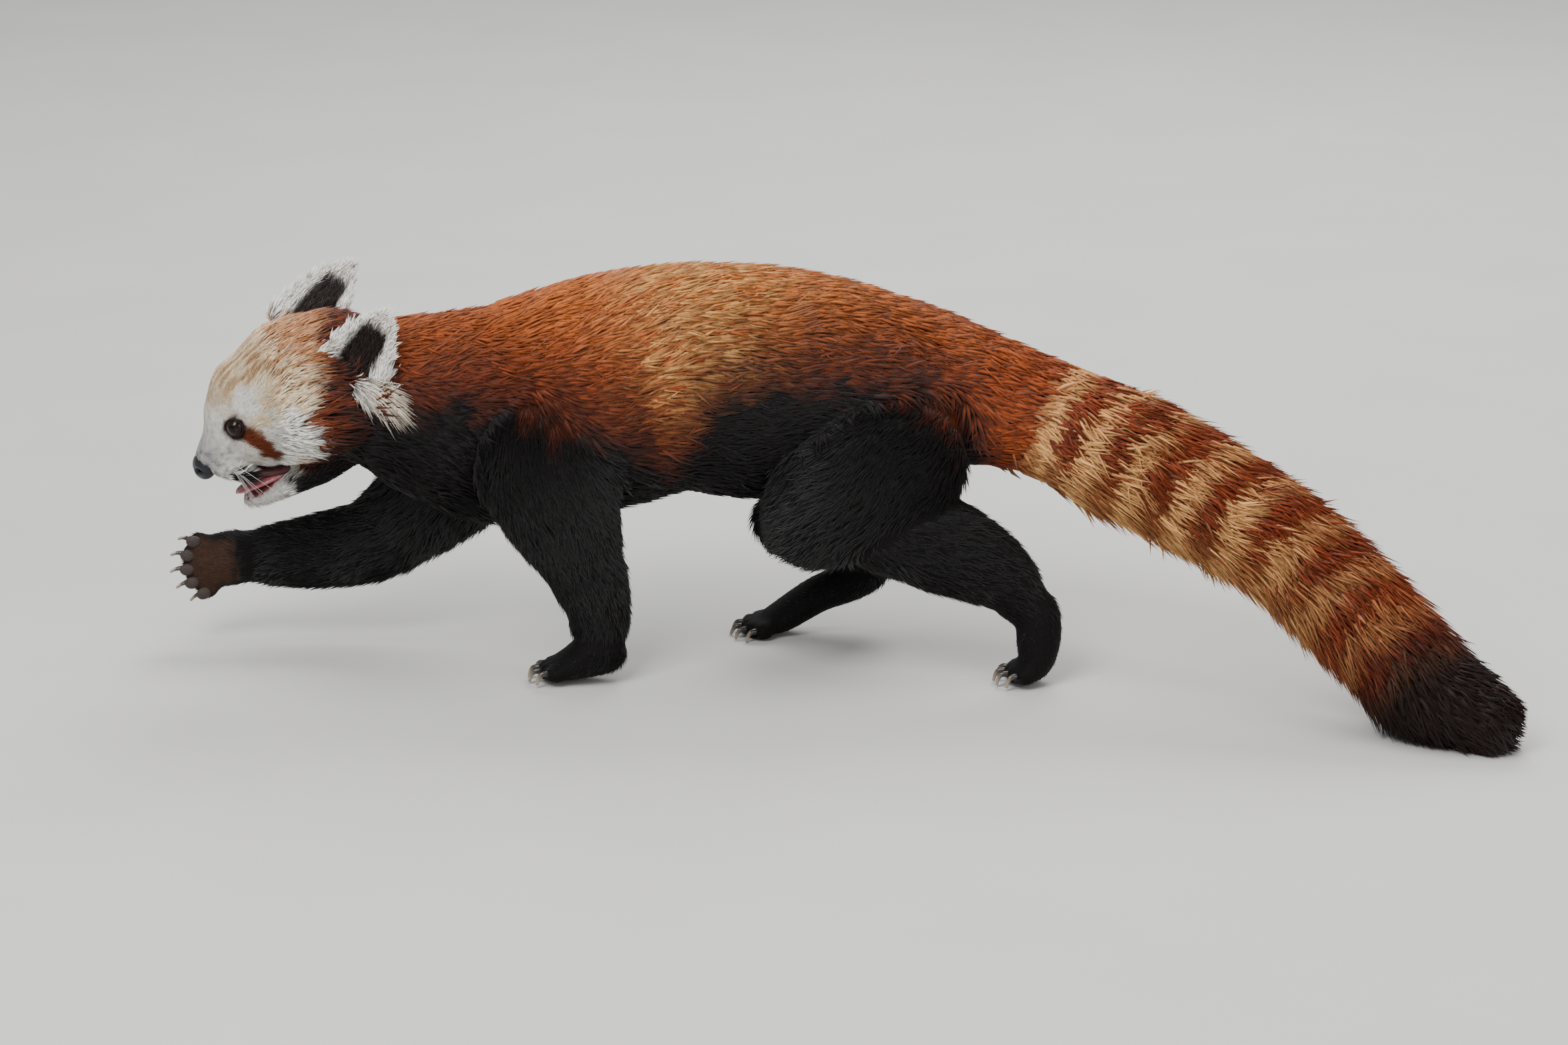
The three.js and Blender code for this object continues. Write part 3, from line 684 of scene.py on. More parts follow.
def tail_markings(points: Array, run: Array, above: Array) -> Array:
    """Alternate buff and rust rings along the tail, paler below, and a dark end.

    Args:
        points: places in design millimetres.
        run: distance along the tail from its root, in millimetres.
        above: 1 on top of the tail to -1 underneath.

    Returns:
        Linear colours.
    """
    bent = run + 3.5 * waves(points, 40, 4) - 5 * above
    ring = 0.5 + 0.5 * np.cos(2 * np.pi * (bent - RING_START) / RING_PITCH)
    ring = smoothstep(0.42, 0.68, ring)
    colour = mix(RING, BUFF, ring * (1 - 0.7 * smoothstep(150, 330, run)))
    colour = mix(colour, RUST, 0.35 * smoothstep(0.0, 0.9, above))
    colour = mix(colour, BUFF, 0.35 * smoothstep(0.1, 0.9, -above) * fade(240, 330, run))
    colour = mix(colour, RUST, fade(-10, 30, run))
    return mix(colour, TAIL_END, smoothstep(318, 372, bent))


def folded(local: Array) -> Array:
    """Places in the head's frame as ahead, out to either side, and up."""
    return np.column_stack([-local[:, 0], np.abs(local[:, 1]), local[:, 2]])


def head_markings(points: Array, ear_inside: Array, ear: Array) -> Array:
    """Cream forehead, white muzzle, brows and cheeks, tear marks, dark cheek backs and ears.

    Args:
        points: places in the head's frame, in millimetres.
        ear_inside: 1 in the cup of an ear, 0 elsewhere.
        ear: 1 on an ear, 0 elsewhere.

    Returns:
        Linear colours.
    """
    places = folded(points)
    ahead, _, height = places.T
    rough = waves(points, 18, 6) * 3.0 + waves(points, 7, 7) * 2.0
    onward = ahead + rough

    def near(at: tuple[float, float, float], squash: tuple[float, float, float]) -> Array:
        """Distance from a place, with each way counted in proportion."""
        return np.linalg.norm((places - at) * squash, axis=1)

    streak = smoothstep(0.0, 0.9, waves(points * [0.35, 1.6, 0.35], 9, 8) + 0.3)
    colour = mix(CREAM, STREAK, 0.8 * streak * smoothstep(2, 40, height))
    colour = mix(colour, CROWN, 0.75 * fade(-22, 34, onward) * smoothstep(22, 50, height))
    edge = np.interp(height, [-60, -34, 4, 17, 34, 50, 62], [14, 2, 4, -6, -14, -18, -30])
    cheek_back = mix(DARK_RUST, RUST, 0.6 * streak)
    colour = mix(colour, cheek_back, fade(-7, 7, ahead - edge + rough))
    below = fade(-46, 6, height + 0.4 * ahead)
    colour = mix(colour, BLACK, 0.92 * below * fade(-12, 8, onward))
    muzzle = smoothstep(34, 46, onward) * fade(2, 20, height + rough)
    brow = fade(8, 17, near((40, 36, 16), (1, 1, 1.15)) + rough)
    cheek = fade(15, 23, near((14, 50, -14), (0.85, 0.8, 0.8)) + rough)
    jowl = fade(-30, -18, height) * smoothstep(2, 12, onward)
    for white in (muzzle, brow, cheek, jowl):
        colour = mix(colour, WHITE, white)
    chin = smoothstep(6, 18, onward) * fade(-50, -44, height)
    colour = mix(colour, 0.7 * WHITE + 0.3 * GREY, chin)
    throat = fade(-52, -44, height) * fade(10, 20, onward)
    colour = mix(colour, BLACK, throat)
    tear = fade(6.4, 10.0, to_line(places, TEAR_LINE) + 0.5 * rough)
    colour = mix(colour, mix(TEAR, DARK_RUST, 0.3 + 0.7 * smoothstep(26, 42, -height)), tear)
    colour = mix(colour, GREY, 0.65 * smoothstep(56, 70, ahead) * fade(-24, -2, height))
    dots = smoothstep(0.62, 0.85, waves(points, 4.5, 12)) * smoothstep(46, 52, ahead)
    colour = mix(colour, GREY * 0.3, 0.6 * dots * fade(-24, -16, height))
    eye = fade(8.8, 12.5, near(tuple(EYE_FOLDED), (1, 1, 1)) + 0.4 * rough)
    colour = mix(colour, EYE_RIM, eye)
    colour = mix(colour, WHITE, ear)
    return mix(colour, EAR_INSIDE, ear_inside)


# The skin


@dataclass
class Skin:
    """One skin over the whole animal, with what the coat needs to know at each point."""

    voxel: float = 0.0028
    points: Array = field(init=False)       # in design millimetres
    normals: Array = field(init=False)
    triangles: Array = field(init=False)
    part: Array = field(init=False)         # index into Part
    share: Array = field(init=False)        # how far along the part, 0 to 1
    turn: Array = field(init=False)         # how far round the part, 0 to 1
    past: Array = field(init=False)         # how far ahead of the nearest place on the part's line
    run: Array = field(init=False)          # distance along the tail
    flow: Array = field(init=False)         # the way the hair lies
    lengths: Array = field(init=False)      # the hair's length
    lift: Array = field(init=False)         # degrees that the hair stands off the skin
    bare: Array = field(init=False)         # 1 where no hair grows

    def surfaces(self) -> list[Surface]:
        """The lofts that the skin is fused from, inside the solids by the coat's depth."""
        pieces = [loft(np.vstack([TRUNK, TAIL]), LINE_DEPTH, 150, 48)]
        for rows, depth in ((SKULL, SKULL_DEPTH), (JAW, np.array([4, 4, 3, 2, 1.5, 1]))):
            made = loft(head_stations(rows), depth, 50, 44)
            pieces.append(Surface(head_to_design(made.points), made.quads))
        pieces += [ear_surface(part) for part in EARS]
        pieces += [ball_surface(at, radii) for at, radii in MUZZLE]
        for part, (upper, lower, paw) in LIMBS.items():
            pieces.append(loft(np.vstack([lower[:-1], paw[1:]]), 7.0, 40, 32, 0.1))
            if part in (Part.FORE_LEFT, Part.FORE_RIGHT):
                pieces.append(loft(np.vstack([upper[:-1], lower[1:]]), 7.5, 50, 32, 0.1))
            pieces += [loft(upper, 8.0, 30, 32, 0.16), loft(lower, 6.5, 30, 32, 0.16)]
            pieces.append(loft(paw, 3.5, 24, 28, 0.16))
            pieces += toe_surfaces(part)
        return pieces

    def build(self) -> bpy.types.Object:
        """Fuses the lofts by a voxel remesh, smooths them, and reads the result back as arrays."""
        whole = Surface.joined(self.surfaces())
        rough = whole.placed("skin_rough")
        remesh = rough.modifiers.new("fuse", "REMESH")
        remesh.mode = "VOXEL"
        remesh.voxel_size = self.voxel
        smooth = rough.modifiers.new("soften", "SMOOTH")
        smooth.factor = 0.5
        smooth.iterations = 5
        view = bpy.context.evaluated_depsgraph_get()
        mesh = bpy.data.meshes.new_from_object(rough.evaluated_get(view))
        bpy.data.objects.remove(rough)
        mesh.name = "skin"
        smooth_shade(mesh)
        mesh.update()
        self.read(mesh)
        return add_object("skin", mesh)

    def read(self, mesh: bpy.types.Mesh) -> None:
        """Takes points, normals and triangles from the mesh."""
        count = len(mesh.vertices)
        flat = np.empty(count * 3)
        mesh.vertices.foreach_get("co", flat)
        self.points = flat.reshape(-1, 3) * 1000 - SHIFT
        normals = np.empty(count * 3)
        mesh.vertex_normals.foreach_get("vector", normals)
        self.normals = normals.reshape(-1, 3)
        mesh.calc_loop_triangles()
        corners = np.empty(len(mesh.loop_triangles) * 3, np.int32)
        mesh.loop_triangles.foreach_get("vertices", corners)
        self.triangles = corners.reshape(-1, 3)

    def locate(self) -> None:
        """Finds for each point the part it lies on, how far along and round it, and the coat's lie.

        A point belongs to the part whose axis it is nearest to, counted in that part's half widths.
        The lie is the part's own way, from the nose back and from the shoulder or hip down.
        """
        best = np.full(len(self.points), np.inf)
        self.part = np.zeros(len(self.points), int)
        self.share = np.zeros(len(self.points))
        self.turn = np.zeros(len(self.points))
        self.flow = np.zeros_like(self.points)
        self.past = np.zeros(len(self.points))
        local = design_to_head(self.points)
        whole = np.vstack([TRUNK, TAIL])
        tests: list[tuple[Part, Array, Array, float, float, float]] = [
            (Part.LINE, whole, self.points, 1.0, 0.0, 1.0),
            (Part.SKULL, head_stations(SKULL), local, -1.0, 0.0, 1.0),
            (Part.JAW, head_stations(JAW), local, -1.0, 0.0, 1.0)]
        for part, lengths in LIMBS.items():
            paw = lengths[2].copy()
            paw[-1, :3] += unit(PAWS[part][0][1]) * 26
            for k, rows in enumerate([lengths[0], lengths[1], paw]):
                tests.append((part, rows, self.points, 1.0, k / 3, 1 / 3))
        for part, rows, points, sign, start, span in tests:
            shares = np.linspace(0, 1, 90 if part is Part.LINE else 24)
            centre, ahead, side, above, half = Course(rows).at(shares)
            away = points[:, None, :].astype(np.float32) - centre.astype(np.float32)
            nearest = np.argmin((away ** 2).sum(-1), axis=1)
            offset = points - centre[nearest]
            a = dot(offset, side[nearest]) / half[nearest, 0]
            b = dot(offset, above[nearest])
            b = b / np.where(b > 0, half[nearest, 1], half[nearest, 2])
            c = dot(offset, ahead[nearest]) / half[nearest, 0]
            ratio = np.sqrt(a * a + b * b + c * c)
            closer = ratio < best
            best[closer] = ratio[closer]
            way = ahead[nearest] * sign
            if part in (Part.SKULL, Part.JAW):
                way = way @ HEAD_MATRIX.T
            self.part[closer] = part
            self.share[closer] = start + shares[nearest][closer] * span
            self.turn[closer] = (np.arctan2(b, a) / (2 * np.pi) % 1)[closer]
            self.past[closer] = (c * half[nearest, 0])[closer]
            self.flow[closer] = way[closer]
        self.locate_ears(local)
        self.run = self.tail_run()

    def locate_ears(self, local: Array) -> None:
        """Marks the points that stand clear of the skull on each ear; hair lies towards its tip."""
        for part in EARS:
            root, up, across, facing = ear_frame(part)
            offset = local - root
            along, wide = offset @ up / (EAR_LENGTH - EAR_BURIED), offset @ across / EAR_HALF_WIDTH
            inner = offset @ facing + EAR_CUP * (1 - np.clip(wide, -1, 1) ** 2) * (1 - 0.5 * along ** 2)
            on = (along > -0.18) & (along < 1.1) & (np.abs(wide) < 1.2) & (inner > -7) & (inner < 14)
            radial = np.linalg.norm(local[:, 1:] - SKULL_MIDDLE, axis=1)
            on &= (radial > np.where(along < 0, 61, 52)) | (along > 0.16)
            behind = self.normals @ (HEAD_MATRIX @ facing) <= 0
            self.part[on] = part
            self.share[on] = np.maximum(along[on], 0)
            self.turn[on] = (0.5 + 0.25 * wide[on] + 0.5 * behind[on]) % 1
            self.flow[on] = HEAD_MATRIX @ up

    def tail_run(self) -> Array:
        """Distance along the tail from its root in millimetres, from the share of the line's length."""
        whole = np.vstack([TRUNK, TAIL])
        shares = np.linspace(0, 1, 400)
        centre = Course(whole).at(shares)[0]
        steps = np.concatenate([[0], np.cumsum(np.linalg.norm(np.diff(centre, axis=0), axis=1))])
        root = np.interp((len(TRUNK) - 0.2) / (len(whole) - 1), shares, steps)
        run = np.interp(self.share, shares, steps) + self.past - root
        return np.where(self.part == Part.LINE, run, -1e3)

    def blur(self, values: Array, rounds: int) -> Array:
        """Values averaged with their neighbours' over the skin, several times."""
        first = self.triangles.ravel()
        second = np.roll(self.triangles, -1, axis=1).ravel()
        count = np.maximum(np.bincount(first, minlength=len(values)), 1)
        flat = values.reshape(len(values), -1)
        for _ in range(rounds):
            total = np.column_stack([np.bincount(first, column[second], len(flat)) for column in flat.T])
            flat = 0.4 * flat + 0.6 * total / count[:, None]
        return flat.reshape(values.shape)

    def groom(self) -> None:
        """Sets the coat's length in millimetres and its lift in degrees at each point, and the lie."""
        local = design_to_head(self.points)
        places = folded(local)
        ahead, side, height = places.T
        lengths = np.full(len(self.points), 27.0)
        lift = np.full(len(self.points), 19.0)
        line = self.part == Part.LINE
        tail = smoothstep(-20, 60, self.run)
        lengths[line] = np.interp(self.run, [-20, 60, 280, 340, 385], [27, 41, 40, 37, 28])[line]
        lift[line] = (19 + 17 * tail)[line]
        head = np.isin(self.part, (Part.SKULL, Part.JAW))
        lengths[head] = np.interp(ahead, [-50, -10, 20, 42, 58, 72], [22, 17, 12, 8, 5.5, 3.6])[head]
        lift[head] = 20
        ruff = fade(-10, 16, ahead) * smoothstep(34, 50, side) * fade(0, 26, height)
        lengths[head] += (13 * ruff)[head]
        lift[head] += (16 * ruff)[head]
        lengths = np.where(self.part == Part.JAW, np.minimum(lengths, 8.0), lengths)
        for part in LIMBS:
            rows = self.part == part
            lengths[rows] = np.interp(self.share, [0, 0.3, 0.6, 0.75, 1], [20, 16, 12, 8, 5.5])[rows]
            lift[rows] = 17
        for part in EARS:
            rows = self.part == part
            lengths[rows] = (9 + 6 * (1 - self.share))[rows]
            lift[rows] = 18
        self.lengths = self.blur(lengths, 6)
        self.lift = self.blur(lift, 6)
        flow = self.blur(self.flow, 14)
        flow -= dot(flow, self.normals)[:, None] * self.normals
        sway = np.cross(self.normals, flow)
        swing = 0.22 * waves(self.points, 46, 21) + 0.12 * waves(self.points, 15, 22)
        self.flow = unit(flow + sway * swing[:, None])
        eye = np.linalg.norm(places - EYE_FOLDED, axis=1)
        nose = np.linalg.norm(local - [-72, 0, -36], axis=1)
        mouth = (ahead > -6) & (height < -44) & (height > -68) & head & self.in_mouth(local)
        self.bare = np.maximum.reduce([fade(8.6, 9.8, eye), fade(10.5, 12.5, nose), mouth.astype(float)])

    def in_mouth(self, local: Array) -> Array:
        """True where the skin faces the gap between the lips: down above it and up below it."""
        facing = self.normals @ HEAD_MATRIX
        split = np.interp(-local[:, 0], [-10, 10, 30, 50, 70], [-46, -49, -53, -56, -58])
        above = local[:, 2] > split
        width = np.abs(local[:, 1])
        up = facing[:, 2]
        return np.where(above, (up < -0.88) & (width < 11), (up > 0.76) & (width < 12))

    @staticmethod
    def markings(points: Array, part: Array, run: Array, normals: Array, turn: Array,
                 share: Array) -> Array:
        """The coat's colours, the same for skin and tufts.

        Args:
            points: places in design millimetres.
            part: index into Part for each.
            run: distance along the tail.
            normals: the skin's outward way at each.
            turn: how far round the part, 0 to 1.
            share: how far along the part, 0 to 1.

        Returns:
            Linear colours.
        """
        local = design_to_head(points)

        def on(*named: Part) -> Array:
            """True at the points of the named parts."""
            return np.isin(part, named)

        inside = np.zeros(len(points))
        for ear in EARS:
            root, _, across, facing = ear_frame(ear)
            wide = np.abs((local - root) @ across) / EAR_HALF_WIDTH
            width = np.maximum(0.05, 1 - np.clip(share, 0, 1) ** 2.3) ** 0.8
            centre = fade(0.42, 0.62, wide / width) * fade(0.6, 0.76, share)
            faces = smoothstep(0.1, 0.4, normals @ (HEAD_MATRIX @ facing))
            inside = np.where(on(ear), centre * faces, inside)
        body = body_markings(points)
        body = np.where((on(*LIMBS) & (share > 0.3))[:, None], BLACK, body)
        palm = smoothstep(0.45, 0.9, -normals[:, 1]) * smoothstep(0.7, 0.78, share)
        body = mix(body, PALM, 0.85 * palm * on(Part.FORE_RIGHT))
        tail = tail_markings(points, run, np.sin(2 * np.pi * turn))
        colour = mix(body, tail, smoothstep(-14, 26, run) * on(Part.LINE))
        head = head_markings(local, inside, on(*EARS).astype(float))
        return np.where(on(Part.SKULL, Part.JAW, *EARS)[:, None], head, colour)

    def dress(self, skin: bpy.types.Object) -> None:
        """Paints the markings on the skin, at 0.55 of their colour as painted shade in the depth of the
        coat, and hides the nodes it replaces.
        """
        colour = self.markings(self.points, self.part, self.run, self.normals, self.turn, self.share)
        mouth = (self.bare > 0.5) & (design_to_head(self.points)[:, 2] < -42)
        # painted shade: the skin under the coat at 0.55 of the coat's colours; the mouth keeps its own
        # colour
        paint(skin.data, np.where(mouth[:, None], MOUTH, colour * 0.55))
        dress(skin, SKIN_FINISH.material(), "coat_rust", *FLESH_NODES)


# The coat


class TuftShape(Enum):
    """The two shapes of tuft: corners at the root, the bend and the tip, and their faces."""

    BENT = ("root edge, three-sided bend, tip",
            ((0, 1, 3), (0, 3, 2), (0, 4, 1), (1, 4, 3), (0, 2, 4), (2, 3, 5), (3, 4, 5), (4, 2, 5)))
    STRAIGHT = ("root triangle, tip", ((0, 2, 1), (0, 1, 3), (1, 2, 3), (2, 0, 3)))

    @property
    def faces(self) -> Array:
        """The faces of one tuft."""
        return np.array(self.value[1])


@dataclass(frozen=True)
class Tuft:
    """How the tufts of one piece are made: count, root width in millimetres, shape and colour play."""

    count: int
    width: float
    flat: float = 0.45
    scatter: float = 0.16
    tone: float = 0.16
    tip_light: float = 1.25
    droop: float = 0.0
    shape: TuftShape = TuftShape.BENT


# Least heights over the floor of a tuft's tip and bend, and of its root, in millimetres
TIP_CLEAR, ROOT_CLEAR = 0.6, 0.3
# A tuft's light at its root and its bend against its own colour, painted shade that is darkest at the root
# in the depth of the coat, and the most that it may have
ROOT_PAINTED_SHADE, BEND_PAINTED_SHADE, MOST_LIGHT = 0.5, 0.95, 0.95
# Where a tuft takes its colour: the share of its reach along the tail's rings and of that elsewhere
RING_SHARE, BODY_SHARE = 0.6, 0.8
# Where the coat's pieces part: across the trunk in x, back and flank in z, along the tail, and on
# the head ahead of its middle, in millimetres
NECK_END, LOIN, FLANK_TOP, TAIL_CUTS, CHEEK_FRONT = -270, -120, 190, (110, 230), 22


@dataclass
class Coat:
    """The coat over a skin, in pieces of under 200,000 triangles."""

    skin: Skin
    material: bpy.types.Material

    def piece(self, name: str, seed: int, rows: Array, tuft: Tuft, slot: str) -> None:
        """Tufts rooted on chosen triangles of the skin, as one mesh.

        Roots are spread at random by area. Each tuft starts a little under the skin, rises at the
        lift, and bends back to the lie over its second half, with a three-sided section that is
        wide across the lie.

        Args:
            name: the piece's name.
            seed: makes the scatter repeatable.
            rows: which skin triangles it grows on, as true and false.
            tuft: how its tufts are made.
            slot: the slot's name, handed on to dress, which does not use it.
        """
        skin = self.skin
        rng = np.random.default_rng(seed)
        corners = skin.triangles[rows]
        places = skin.points[corners]
        area = np.linalg.norm(np.cross(places[:, 1] - places[:, 0], places[:, 2] - places[:, 0]), axis=1)
        pick = rng.choice(len(corners), tuft.count, p=area / area.sum())
        weights = rng.dirichlet([1, 1, 1], tuft.count)
        corner = corners[pick]
        nearest = corner[np.arange(tuft.count), weights.argmax(1)]

        def spread(values: Array) -> Array:
            """Skin values at the roots, by their share of each corner."""
            return (values[corner] * (weights[..., None] if values.ndim == 2 else weights)).sum(1)

        keep = spread(skin.bare) < 0.5
        root, normal, flow = (spread(values)[keep] for values in (skin.points, skin.normals, skin.flow))
        normal = unit(normal)
        length, lift = spread(skin.lengths)[keep], np.radians(spread(skin.lift)[keep])
        nearest = nearest[keep]
        count = len(root)
        clump = np.column_stack([waves(root, 9, 31), waves(root, 9, 32), waves(root, 9, 33)])
        flow = flow + clump * 0.16 + rng.normal(size=(count, 3)) * tuft.scatter
        flow = unit(flow - dot(flow, normal)[:, None] * normal)
        across = np.cross(normal, flow)
        length = length * rng.uniform(0.72, 1.18, count)
        lift = lift * rng.uniform(0.65, 1.35, count)
        rise = flow * np.cos(lift)[:, None] + normal * np.sin(lift)[:, None]
        bend = unit(flow * np.cos(lift * 0.35)[:, None] + normal * np.sin(lift * 0.35)[:, None]
                    + np.array([0, 0, -tuft.droop]))
        start = root - normal * ROOT_DEPTH
        middle = start + rise * (length * 0.5)[:, None]
        tip = middle + bend * (length * 0.5)[:, None]
        for at, least in ((tip, TIP_CLEAR), (middle, TIP_CLEAR), (start, ROOT_CLEAR)):
            at[:, 2] = np.maximum(at[:, 2], least)
        width = tuft.width * rng.uniform(0.75, 1.25, count) * np.clip(length / 14, 0.45, 1.15)
        half = (width / 2)[:, None]
        ridge = normal * half * 2 * tuft.flat
        if tuft.shape is TuftShape.BENT:
            places = [start - across * half * 0.8, start + across * half * 0.8, middle - across * half,
                      middle + across * half, middle + ridge, tip]
            stage = [0, 0, 1, 1, 1, 2]
        else:
            places = [start - across * half, start + across * half, start + ridge, tip]
            stage = [0, 0, 0, 2]
        jitter = rng.normal(size=(count, 1)) * length[:, None] * 0.07
        seen = RING_SHARE * (tip - root) + flow * jitter
        run = skin.run[nearest] + dot(seen, flow)
        colour = skin.markings(root + seen * BODY_SHARE, skin.part[nearest], run, normal,
                               skin.turn[nearest], skin.share[nearest])
        colour = colour * (1 + tuft.tone * rng.normal(size=(count, 1))).clip(0.55, 1.6)
        # painted shade: each tuft darker at its root and its bend than its own colour, and its tip lighter
        # by tip_light
        shades = [colour * (ROOT_PAINTED_SHADE, BEND_PAINTED_SHADE, tuft.tip_light)[k] for k in stage]
        self.mesh(name, places, shades, self.unrolled(nearest), tuft.shape, slot)

    def ear_fringe(self, tuft: Tuft, seed: int) -> None:
        """Long white hair that roots along a line below each ear and hangs back, out and down.

        A hair at a share of that line is longer the further back it roots, and its middle stands
        further out than the straight way from root to tip.

        Args:
            tuft: how its tufts are made, the count for both sides.
            seed: makes the scatter repeatable.
        """
        rng = np.random.default_rng(seed)
        count = tuft.count
        side = np.where(np.arange(count) % 2, 1.0, -1.0)
        share = rng.uniform(0, 1, count)
        reach = (13 + 17 * share) * rng.uniform(0.75, 1.2, count)
        loose = rng.normal(size=(count, 3)) * [2.4, 0.8, 3.0]
        root = np.column_stack([40 + 12 * share, side * (60 + 4 * share), 18 - 4 * share]) + loose
        middle = root + np.column_stack([reach * 0.36, side * reach * 0.26, -reach * 0.3]) + loose * 0.5
        tip = root + np.column_stack([reach * 0.68, side * reach * 0.32, -reach * 0.7]) + loose * 1.2
        root, middle, tip = (head_to_design(at) for at in (root, middle, tip))
        across = unit(np.cross(tip - root, [0, 1.0, 0.3]))
        out = unit(np.cross(across, tip - root))
        half = (tuft.width * rng.uniform(0.7, 1.2, count) / 2)[:, None]
        places = [root - across * half, root + across * half, middle - across * half,
                  middle + across * half, middle + out * half * tuft.flat * 2, tip]
        colour = mix(WHITE, CREAM, share * 0.6)
        colour = colour * (1 + tuft.tone * rng.normal(size=(count, 1))).clip(0.6, 1.2)
        # painted shade: each hair darker at its root and bend than at its tip
        shades = [colour * light for light in (0.55, 0.55, 0.9, 0.9, 0.95, 1.0)]
        uv = np.column_stack([share * 0.46 + np.where(side > 0, 0.5, 0.02),
                              rng.uniform(0.03, 0.97, count)])
        self.mesh("coat_ear_fringe", places, shades, uv, tuft.shape, "coat_white")

    def unrolled(self, nearest: Array) -> Array:
        """Places on the skin's unrolling: along each part against round it, a band for each part.

        Args:
            nearest: the skin point that each tuft roots at.

        Returns:
            Two values from 0.02 to 0.98 for each tuft.
        """
        part, share, turn = self.skin.part[nearest], self.skin.share[nearest], self.skin.turn[nearest]
        kinds, band = np.unique(part, return_inverse=True)
        spot = np.empty((len(part), 2))
        for k in range(len(kinds)):
            rows = band == k
            low, high = share[rows].min(), share[rows].max()
            spot[rows, 0] = (share[rows] - low) / max(high - low, 1e-6)
            spot[rows, 1] = (k + 0.03 + 0.94 * turn[rows]) / len(kinds)
        return spot * 0.96 + 0.02

    def mesh(self, name: str, places: list[Array], shades: list[Array], uv: Array, shape: TuftShape,
             slot: str) -> None:
        """Puts tufts into a mesh with their colours and the bake's map.

        The map is the skin's own unrolling, how far along the part against how far round it, and
        each tuft is a patch 0.003 across at its root's place.

        Args:
            name: the piece's name.
            places: for each corner of a tuft, its place in all of them, in design millimetres.
            shades: for each corner of a tuft, its colour in all of them, with the painted shade at the
                root and the bend.
            uv: the root's place on the skin's unrolling.
            shape: the tufts' shape.
            slot: the slot's name, handed on to dress, which does not use it.
        """
        points = to_metres(np.stack(places, axis=1))
        count, corners = points.shape[:2]
        low, high = (np.array(corner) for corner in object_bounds())
        points = np.clip(points, low - REACH, high + REACH)
        points[..., 2] = np.maximum(points[..., 2], LOWEST)
        faces = (shape.faces[None] + corners * np.arange(count)[:, None, None]).reshape(-1, 3)
        mesh = bpy.data.meshes.new(name)
        mesh.vertices.add(count * corners)
        mesh.vertices.foreach_set("co", points.ravel())
        mesh.loops.add(faces.size)
        mesh.loops.foreach_set("vertex_index", faces.ravel())
        mesh.polygons.add(len(faces))
        mesh.polygons.foreach_set("loop_start", np.arange(0, faces.size, 3))
        smooth_shade(mesh)
        mesh.update(calc_edges=True)
        paint(mesh, np.minimum(np.stack(shades, axis=1), MOST_LIGHT).reshape(-1, 3))
        angle = circle(corners)
        spots = uv[:, None] + PATCH * np.stack([np.cos(angle), np.sin(angle)], -1)
        layer = mesh.uv_layers.new(name="OFBake")
        layer.data.foreach_set("uv", spots.reshape(-1, 2)[faces.ravel()].ravel())
        dress(add_object(name, mesh), self.material, slot)

    def build(self) -> None:
        """Grows every piece of the coat."""
        skin = self.skin
        first = skin.triangles[:, 0]
        part, run = skin.part[first], skin.run[first]
        ahead = -design_to_head(skin.points[first])[:, 0]

        def on(*named: Part) -> Array:
            """Triangles of the named parts."""
            return np.isin(part, named)

        line = on(Part.LINE)
        x = skin.points[first, 0]
        top = skin.points[first, 2] > FLANK_TOP
        trunk, tail, face = line & (run < 0), line & (run >= 0), on(Part.SKULL, Part.JAW)
        front, rear = trunk & (x >= NECK_END) & (x < LOIN), trunk & (x >= LOIN)
        middle, end = run >= TAIL_CUTS[0], run >= TAIL_CUTS[1]
        body = Tuft(16500, 2.6, scatter=0.13)
        long_hair = Tuft(16500, 2.1, scatter=0.15, tip_light=1.3, droop=0.1)
        leg = Tuft(14000, 1.7, scatter=0.14, shape=TuftShape.STRAIGHT)
        fine = Tuft(34000, 1.05, scatter=0.13, tone=0.2, tip_light=1.15, shape=TuftShape.STRAIGHT)
        cheek = Tuft(16000, 1.6, scatter=0.12, tone=0.13)
        for name, seed, rows, tuft, slot in (
            ("neck", 101, trunk & (x < NECK_END), Tuft(14000, 2.5), "coat_rust"),
            ("shoulders", 102, front & top, body, "coat_rust"),
            ("chest", 103, front & ~top, Tuft(12000, 2.7), "coat_rust"),
            ("back", 104, rear & top, body, "coat_rust"),
            ("belly", 105, rear & ~top, Tuft(13000, 2.7), "coat_rust"),
            ("tail_root", 106, tail & ~middle, long_hair, "coat_rings"),
            ("tail_middle", 107, tail & middle & ~end, long_hair, "coat_rings"),
            ("tail_end", 108, tail & end, long_hair, "coat_tail_end"),
            *((limb.name.lower(), 110 + k, on(limb), leg, "coat_dark") for k, limb in enumerate(LIMBS)),
            ("face", 120, face & (ahead > CHEEK_FRONT), fine, "coat_head"),
            ("cheeks", 121, face & (ahead <= CHEEK_FRONT), cheek, "coat_head"),
            ("ears", 122, on(*EARS), Tuft(8000, 1.3), "coat_white"),
        ):
            self.piece(f"coat_{name}", seed, rows, tuft, slot)
        self.ear_fringe(Tuft(2400, 1.2, tone=0.1), 123)


# Eyes, nose, tongue, claws, pads and whiskers


